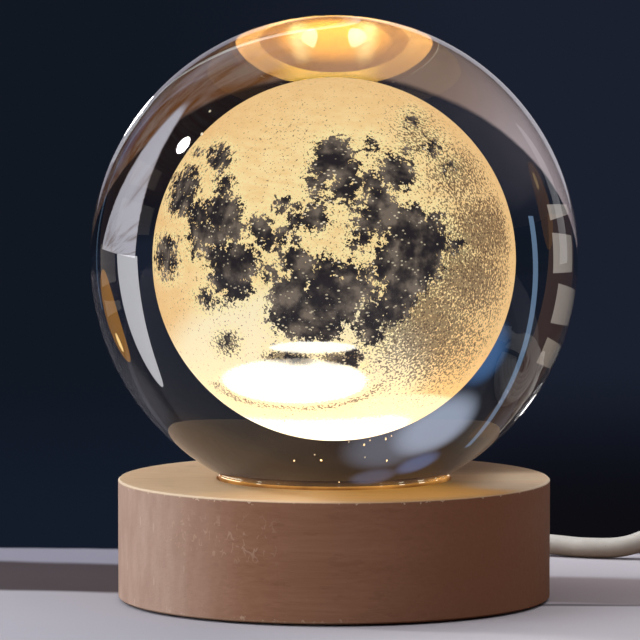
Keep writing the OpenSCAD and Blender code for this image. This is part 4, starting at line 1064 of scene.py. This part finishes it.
def makeResistorMaterial(s):
    # black body with a tinned cap at each end
    material, shader, where = newMaterial("chipResistor", {"Roughness": 0.35})
    x, y = addXyz(where)[:2]
    across = addGap(addMath("ABSOLUTE", x), addMath("ABSOLUTE", y))
    capAt = s["cap"] * math.sqrt(2)
    cap = addStep(across, capAt, capAt + s["capEdge"])
    blotch, grain = addGroup("mottle", where, Scale=1500, Contrast=2.5).outputs
    body = addMix(blotch, s["body"], s["bodyPale"])
    tin = addMix(blotch, s["tin"], s["tinDeep"])
    feed(shader, baseColour=addMix(cap, body, tin), metal=cap)
    feedBump(shader, grain, 0.4, 0.00001)
    return material


dress(nodes["chip_resistors"], makeResistorMaterial(resistorSet))
print("lamp: base, ring, board and LEDs dressed")


# table that the lamp stands on, dark room beyond its far edge
floorSet = {
    "size": 12,
    # lines across the table: sideways slope, distance behind the lamp's middle, softness, all in metres
    "bandLine": (0.244, 0.0006, 0.0022), "stripLine": (0.296, 0.0375, 0.0030),
    "farLine": (0.137, 0.0649, 0.0022), "thinLine": (0.048, -0.0093, 0.0014),
    "glassLine": (0.10, 0.1125, 0.003),
    # the table as it shows past the lamp, each part with its tone at the right, lighter there as painted
    # light over the lamp's shadow
    "frontLeft": tone(179, 179, 191), "frontRight": tone(224, 220, 230), "blotch": tone(150, 142, 140),
    # band is painted shade: a darker band across the table behind the lamp
    "band": tone(79, 72, 77), "bandRight": tone(176, 166, 172),
    "strip": tone(150, 150, 168), "stripRight": tone(206, 204, 216), "thin": tone(140, 136, 144),
    # the table as the glass shows it, and what it gives back to the lamp
    "throughTan": tone(132, 112, 102), "throughLilac": tone(168, 156, 160), "throughBrown": tone(104, 64, 32),
    "clothFar": (0.346, 0.075), "clothNear": (0.95, 0.0485),
    "cloth": tone(182, 180, 190), "clothFold": tone(120, 104, 96), "bounce": (0.20, 0.135, 0.10),
    # the dark room past the far edge
    "roomLeft": tone(18, 24, 34), "roomRight": tone(27, 32, 46), "roomLow": tone(20, 27, 41),
    "roomCorner": tone(13, 13, 18),
}


def makeFloor(s):
    mesh = bmesh.new()
    bmesh.ops.create_grid(mesh, x_segments=4, y_segments=4, size=s["size"])
    floor = finishMesh("tableTop", mesh, smooth=False)
    material, shader, where = newMaterial("tableTop", {"Roughness": 0.9, "Specular IOR Level": 0.0,
                                                       "Emission Strength": 1.0})
    x, y = addXyz(where)[:2]
    wobble = addNoise(where, 60, 3)
    uneven = addTimesPlus(addMinus(wobble, 0.5), 0.003, y)

    def beyond(line):
        slope, reach, soft = s[line]
        return addStep(addTimesPlus(x, slope, uneven), reach - soft, reach + soft)

    # painted light: each part lighter towards the right, over the lamp's shadow
    toRight = addStep(x, -0.03, 0.04)
    band = addMix(toRight, s["band"], s["bandRight"])
    strip = addMix(toRight, s["strip"], s["stripRight"])
    front = addMix(toRight, s["frontLeft"], s["frontRight"])
    slope, reach, soft = s["thinLine"]
    offLine = addGap(addTimesPlus(x, slope, uneven), reach)
    thin = addTimes(addStep(offLine, soft * 1.6, soft * 0.4), addStep(x, 0.01, 0.03))
    colour = addMix(thin, front, s["thin"])
    # painted shade: the darker band behind the lamp
    colour = addMix(beyond("bandLine"), colour, band)
    colour = addMix(beyond("stripLine"), colour, strip)
    blotch = addMask("mottle", where, Scale=25, Contrast=1.5)
    colour = addMix(blotch, colour, s["blotch"], 0.10)
    path = addNode(material.node_tree, "LightPath").outputs
    # the glass shows the table from a steeper angle, without its grazing shine
    under = addMix(addStep(x, -0.02, -0.075), s["throughTan"], s["throughLilac"])
    tilted = addMapping(where, (0, 0, -20))
    streak = addMask("streaks", tilted, Stretch=(0.5, 1.6, 1), Scale=60, Contrast=5)
    under = addMix(addTimes(streak, addStep(x, 0.0, 0.03)), under, s["throughBrown"])
    # a pale stretch, painted light that glows, which only the glass shows
    inner = addTimesPlus(x, -s["clothFar"][0], uneven)
    outer = addTimesPlus(x, -s["clothNear"][0], uneven)
    onCloth = addTimes(addStep(inner, s["clothFar"][1] - 0.002, s["clothFar"][1] + 0.002),
                       addStep(outer, s["clothNear"][1] + 0.002, s["clothNear"][1] - 0.002))
    onCloth = addTimes(onCloth, addTimes(addStep(x, 0.05, 0.06), addStep(x, 0.73, 0.70)))
    fold = addMask("streaks", tilted, Stretch=(0.12, 1.2, 1), Scale=22, Contrast=2.5)
    cloth = addMix(addStep(fold, 0.4, 0.9), s["cloth"], s["clothFold"], 0.7)
    under = addMix(onCloth, under, black)
    colour = addMix(path["Is Transmission Ray"], colour, under)
    colour = addMix(path["Is Diffuse Ray"], colour, s["bounce"])
    shine = addMinus(path["Is Glossy Ray"], path["Is Transmission Ray"], clamp=True)
    colour = addMix(shine, colour, black, 0.65)
    farGlass = addTimes(beyond("glassLine"), addMinus(1.0, onCloth))
    far = addNode(material.node_tree, "Mix", {0: path["Is Transmission Ray"], 2: beyond("farLine"),
                                              3: farGlass}).outputs[0]
    feed(shader, baseColour=addMix(far, colour, black))
    # the room is a little lighter to the right, and dim in the lower right
    eye = cameraSet["place"]
    sideways = addMath("DIVIDE", addMinus(x, eye[0]), addMinus(y, eye[1]))
    room = addMix(addStep(sideways, 0.03, 0.10), s["roomLeft"], s["roomRight"])
    low = addStep(y, 0.45, 0.10)
    room = addMix(low, room, s["roomLow"])
    room = addMix(addTimes(low, addStep(sideways, 0.055, 0.105)), room, s["roomCorner"])
    seen = addMix(far, black, room)
    onCloth = addTimes(onCloth, path["Is Transmission Ray"])
    feed(shader, glow=addMix(onCloth, seen, cloth))
    dress(floor, material)


makeFloor(floorSet)


lightSet = {
    "reach": 0.9,
    # each lamp: where its two ends lie, as the turn from straight behind the ball and the clock angle in
    # degrees, its width in degrees, brightness, colour, and whether the glass shows it
    "lamps": [
        ("keyLamp", (79.3, 142.9), (86, 142.9), 6.2, 26, (1.0, 0.97, 0.95), True),
        ("keyRest", (79, 142.7), (86, 142.7), 7, 38, (1.0, 0.97, 0.95), False),
        ("rimLamp", (12, 141.5), (19, 141.5), 3, 5.0, (1.0, 0.99, 0.98), True),
        ("keySoft", (60, 142.7), (96, 142.7), 36, 2.2, (1.0, 0.97, 0.94), False),
        ("overhead", (60, 90), (120, 90), 60, 1.1, (1.0, 0.97, 0.94), False),
        ("sideFill", (95, 166), (135, 166), 30, 3.6, (0.96, 0.98, 1.0), False),
        ("frontFill", (105, 55), (145, 55), 30, 1.3, (1.0, 0.97, 0.95), False),
        ("paneA", (52, 195.5), (73, 195.5), 9.5, 0.25, (1.0, 0.90, 0.79), True),
        ("paneB", (52, 181), (72, 181), 8.5, 0.24, (1.0, 0.91, 0.80), True),
        ("paneC", (55.5, 168.3), (84, 168.3), 8.7, 0.22, (1.0, 0.90, 0.79), True),
        ("paneD", (57, 156), (80, 156), 6.0, 0.20, (1.0, 0.86, 0.70), True),
        ("brownPanel", (66, 202), (66, 130), 26, 0.032, (1.0, 0.50, 0.22), True),
        ("blueStrip", (42.5, 200), (62, 125), 2.4, 0.22, (0.42, 0.66, 1.0), True),
        ("curtainMid", (55, -40), (48.5, 37), 10.0, 0.42, (0.98, 0.97, 1.0), True),
        ("amberLamp", (62, 3), (58.5, 27), 12.0, 0.24, (1.0, 0.43, 0.03), True),
        ("amberCore", (60.5, 19), (59.8, 24), 2.5, 0.90, (1.0, 0.72, 0.30), True),
    ],
    "near": {"amberLamp": 0.85, "amberCore": 0.84, "paneA": 0.22, "paneB": 0.22, "brownPanel": 0.24,
             "blueStrip": 0.25},
    "square": ["paneA", "paneB", "paneC", "paneD", "brownPanel", "blueStrip"],
    "ambient": (0.10, 0.10, 0.11), "horizon": tone(20, 26, 38), "sky": tone(34, 33, 33),
    # soft lights in the dark room, as the glass shows them: turn, clock, inner and outer half width, colour
    "glows": [
        (35, 147, 2, 8, (60, 95, 140)), (42, 106, 2, 11, (92, 98, 112)), (42.5, 121, 4, 11, (156, 166, 186)),
        (55, 112, 2, 6, (84, 100, 136)), (55.5, 100, 2, 6, (78, 84, 104)), (66, 36, 3, 13, (64, 64, 68)),
        (60, 64, 6, 20, (62, 50, 42)), (17, 118, 5, 9, (180, 180, 196)), (17, 140, 5, 9, (180, 180, 196)),
        (17, 62, 5, 9, (200, 200, 212)), (17, 40, 5, 9, (200, 200, 212)),
    ],
}


def wayTo(turn, clock):
    t, c = math.radians(turn), math.radians(clock)
    return math.cos(t) * lookWay + math.sin(t) * (math.cos(c) * rightWay + math.sin(c) * upWay)


def makeLights(s):
    for name, first, last, wide, brightness, colour, shown in s["lamps"]:
        a, b = wayTo(*first), wayTo(*last)
        middle = (a + b).normalized()
        along = (b - a).normalized()
        reach = s["near"].get(name, s["reach"])
        data = bpy.data.lights.new(name, "AREA")
        data.shape, fill = ("RECTANGLE", 1) if name in s["square"] else ("ELLIPSE", math.pi / 4)
        data.size = 2 * reach * math.tan(a.angle(b) / 2)
        data.size_y = 2 * reach * math.tan(math.radians(wide / 2))
        data.energy = 4 * data.size * data.size_y * brightness * fill
        data.color = colour
        lamp = bpy.data.objects.new(name, data)
        lamp.matrix_world = Matrix((along, middle.cross(along), middle)).transposed().to_4x4()
        # rays that reach a near lamp leave the glass well behind the ball's middle
        lamp.location = ballMiddle + reach * middle + (0.04 * lookWay if reach < 0.5 else Vector())
        lamp.visible_camera = False
        lamp.visible_glossy = lamp.visible_transmission = shown
        scene.collection.objects.link(lamp)


def makeWorld(s):
    world = bpy.data.worlds.new("room")
    scene.world = world
    world.use_nodes = True
    tree = world.node_tree
    background = tree.nodes["Background"]
    path = addNode(tree, "LightPath").outputs
    way = addNode(tree, "TexCoord").outputs["Generated"]
    height = addXyz(way)[2]
    seen = addMix(addStep(height, 0.1, 0.8), s["horizon"], s["sky"])
    for turn, clock, inner, outer, colour in s["glows"]:
        toward = addNode(tree, "VectorMath", {0: way, 1: tuple(wayTo(turn, clock))}, operation="DOT_PRODUCT")
        spot = addStep(toward.outputs["Value"], math.cos(math.radians(outer)), math.cos(math.radians(inner)))
        seen = addMix(spot, seen, tone(*colour))
    tree.links.new(addMix(path["Is Diffuse Ray"], seen, s["ambient"]), background.inputs["Color"])
    background.inputs["Strength"].default_value = 1.0


makeLights(lightSet)
makeWorld(lightSet)
scene.view_settings.view_transform = "Standard"
print("lamp: table, lamps and room set")
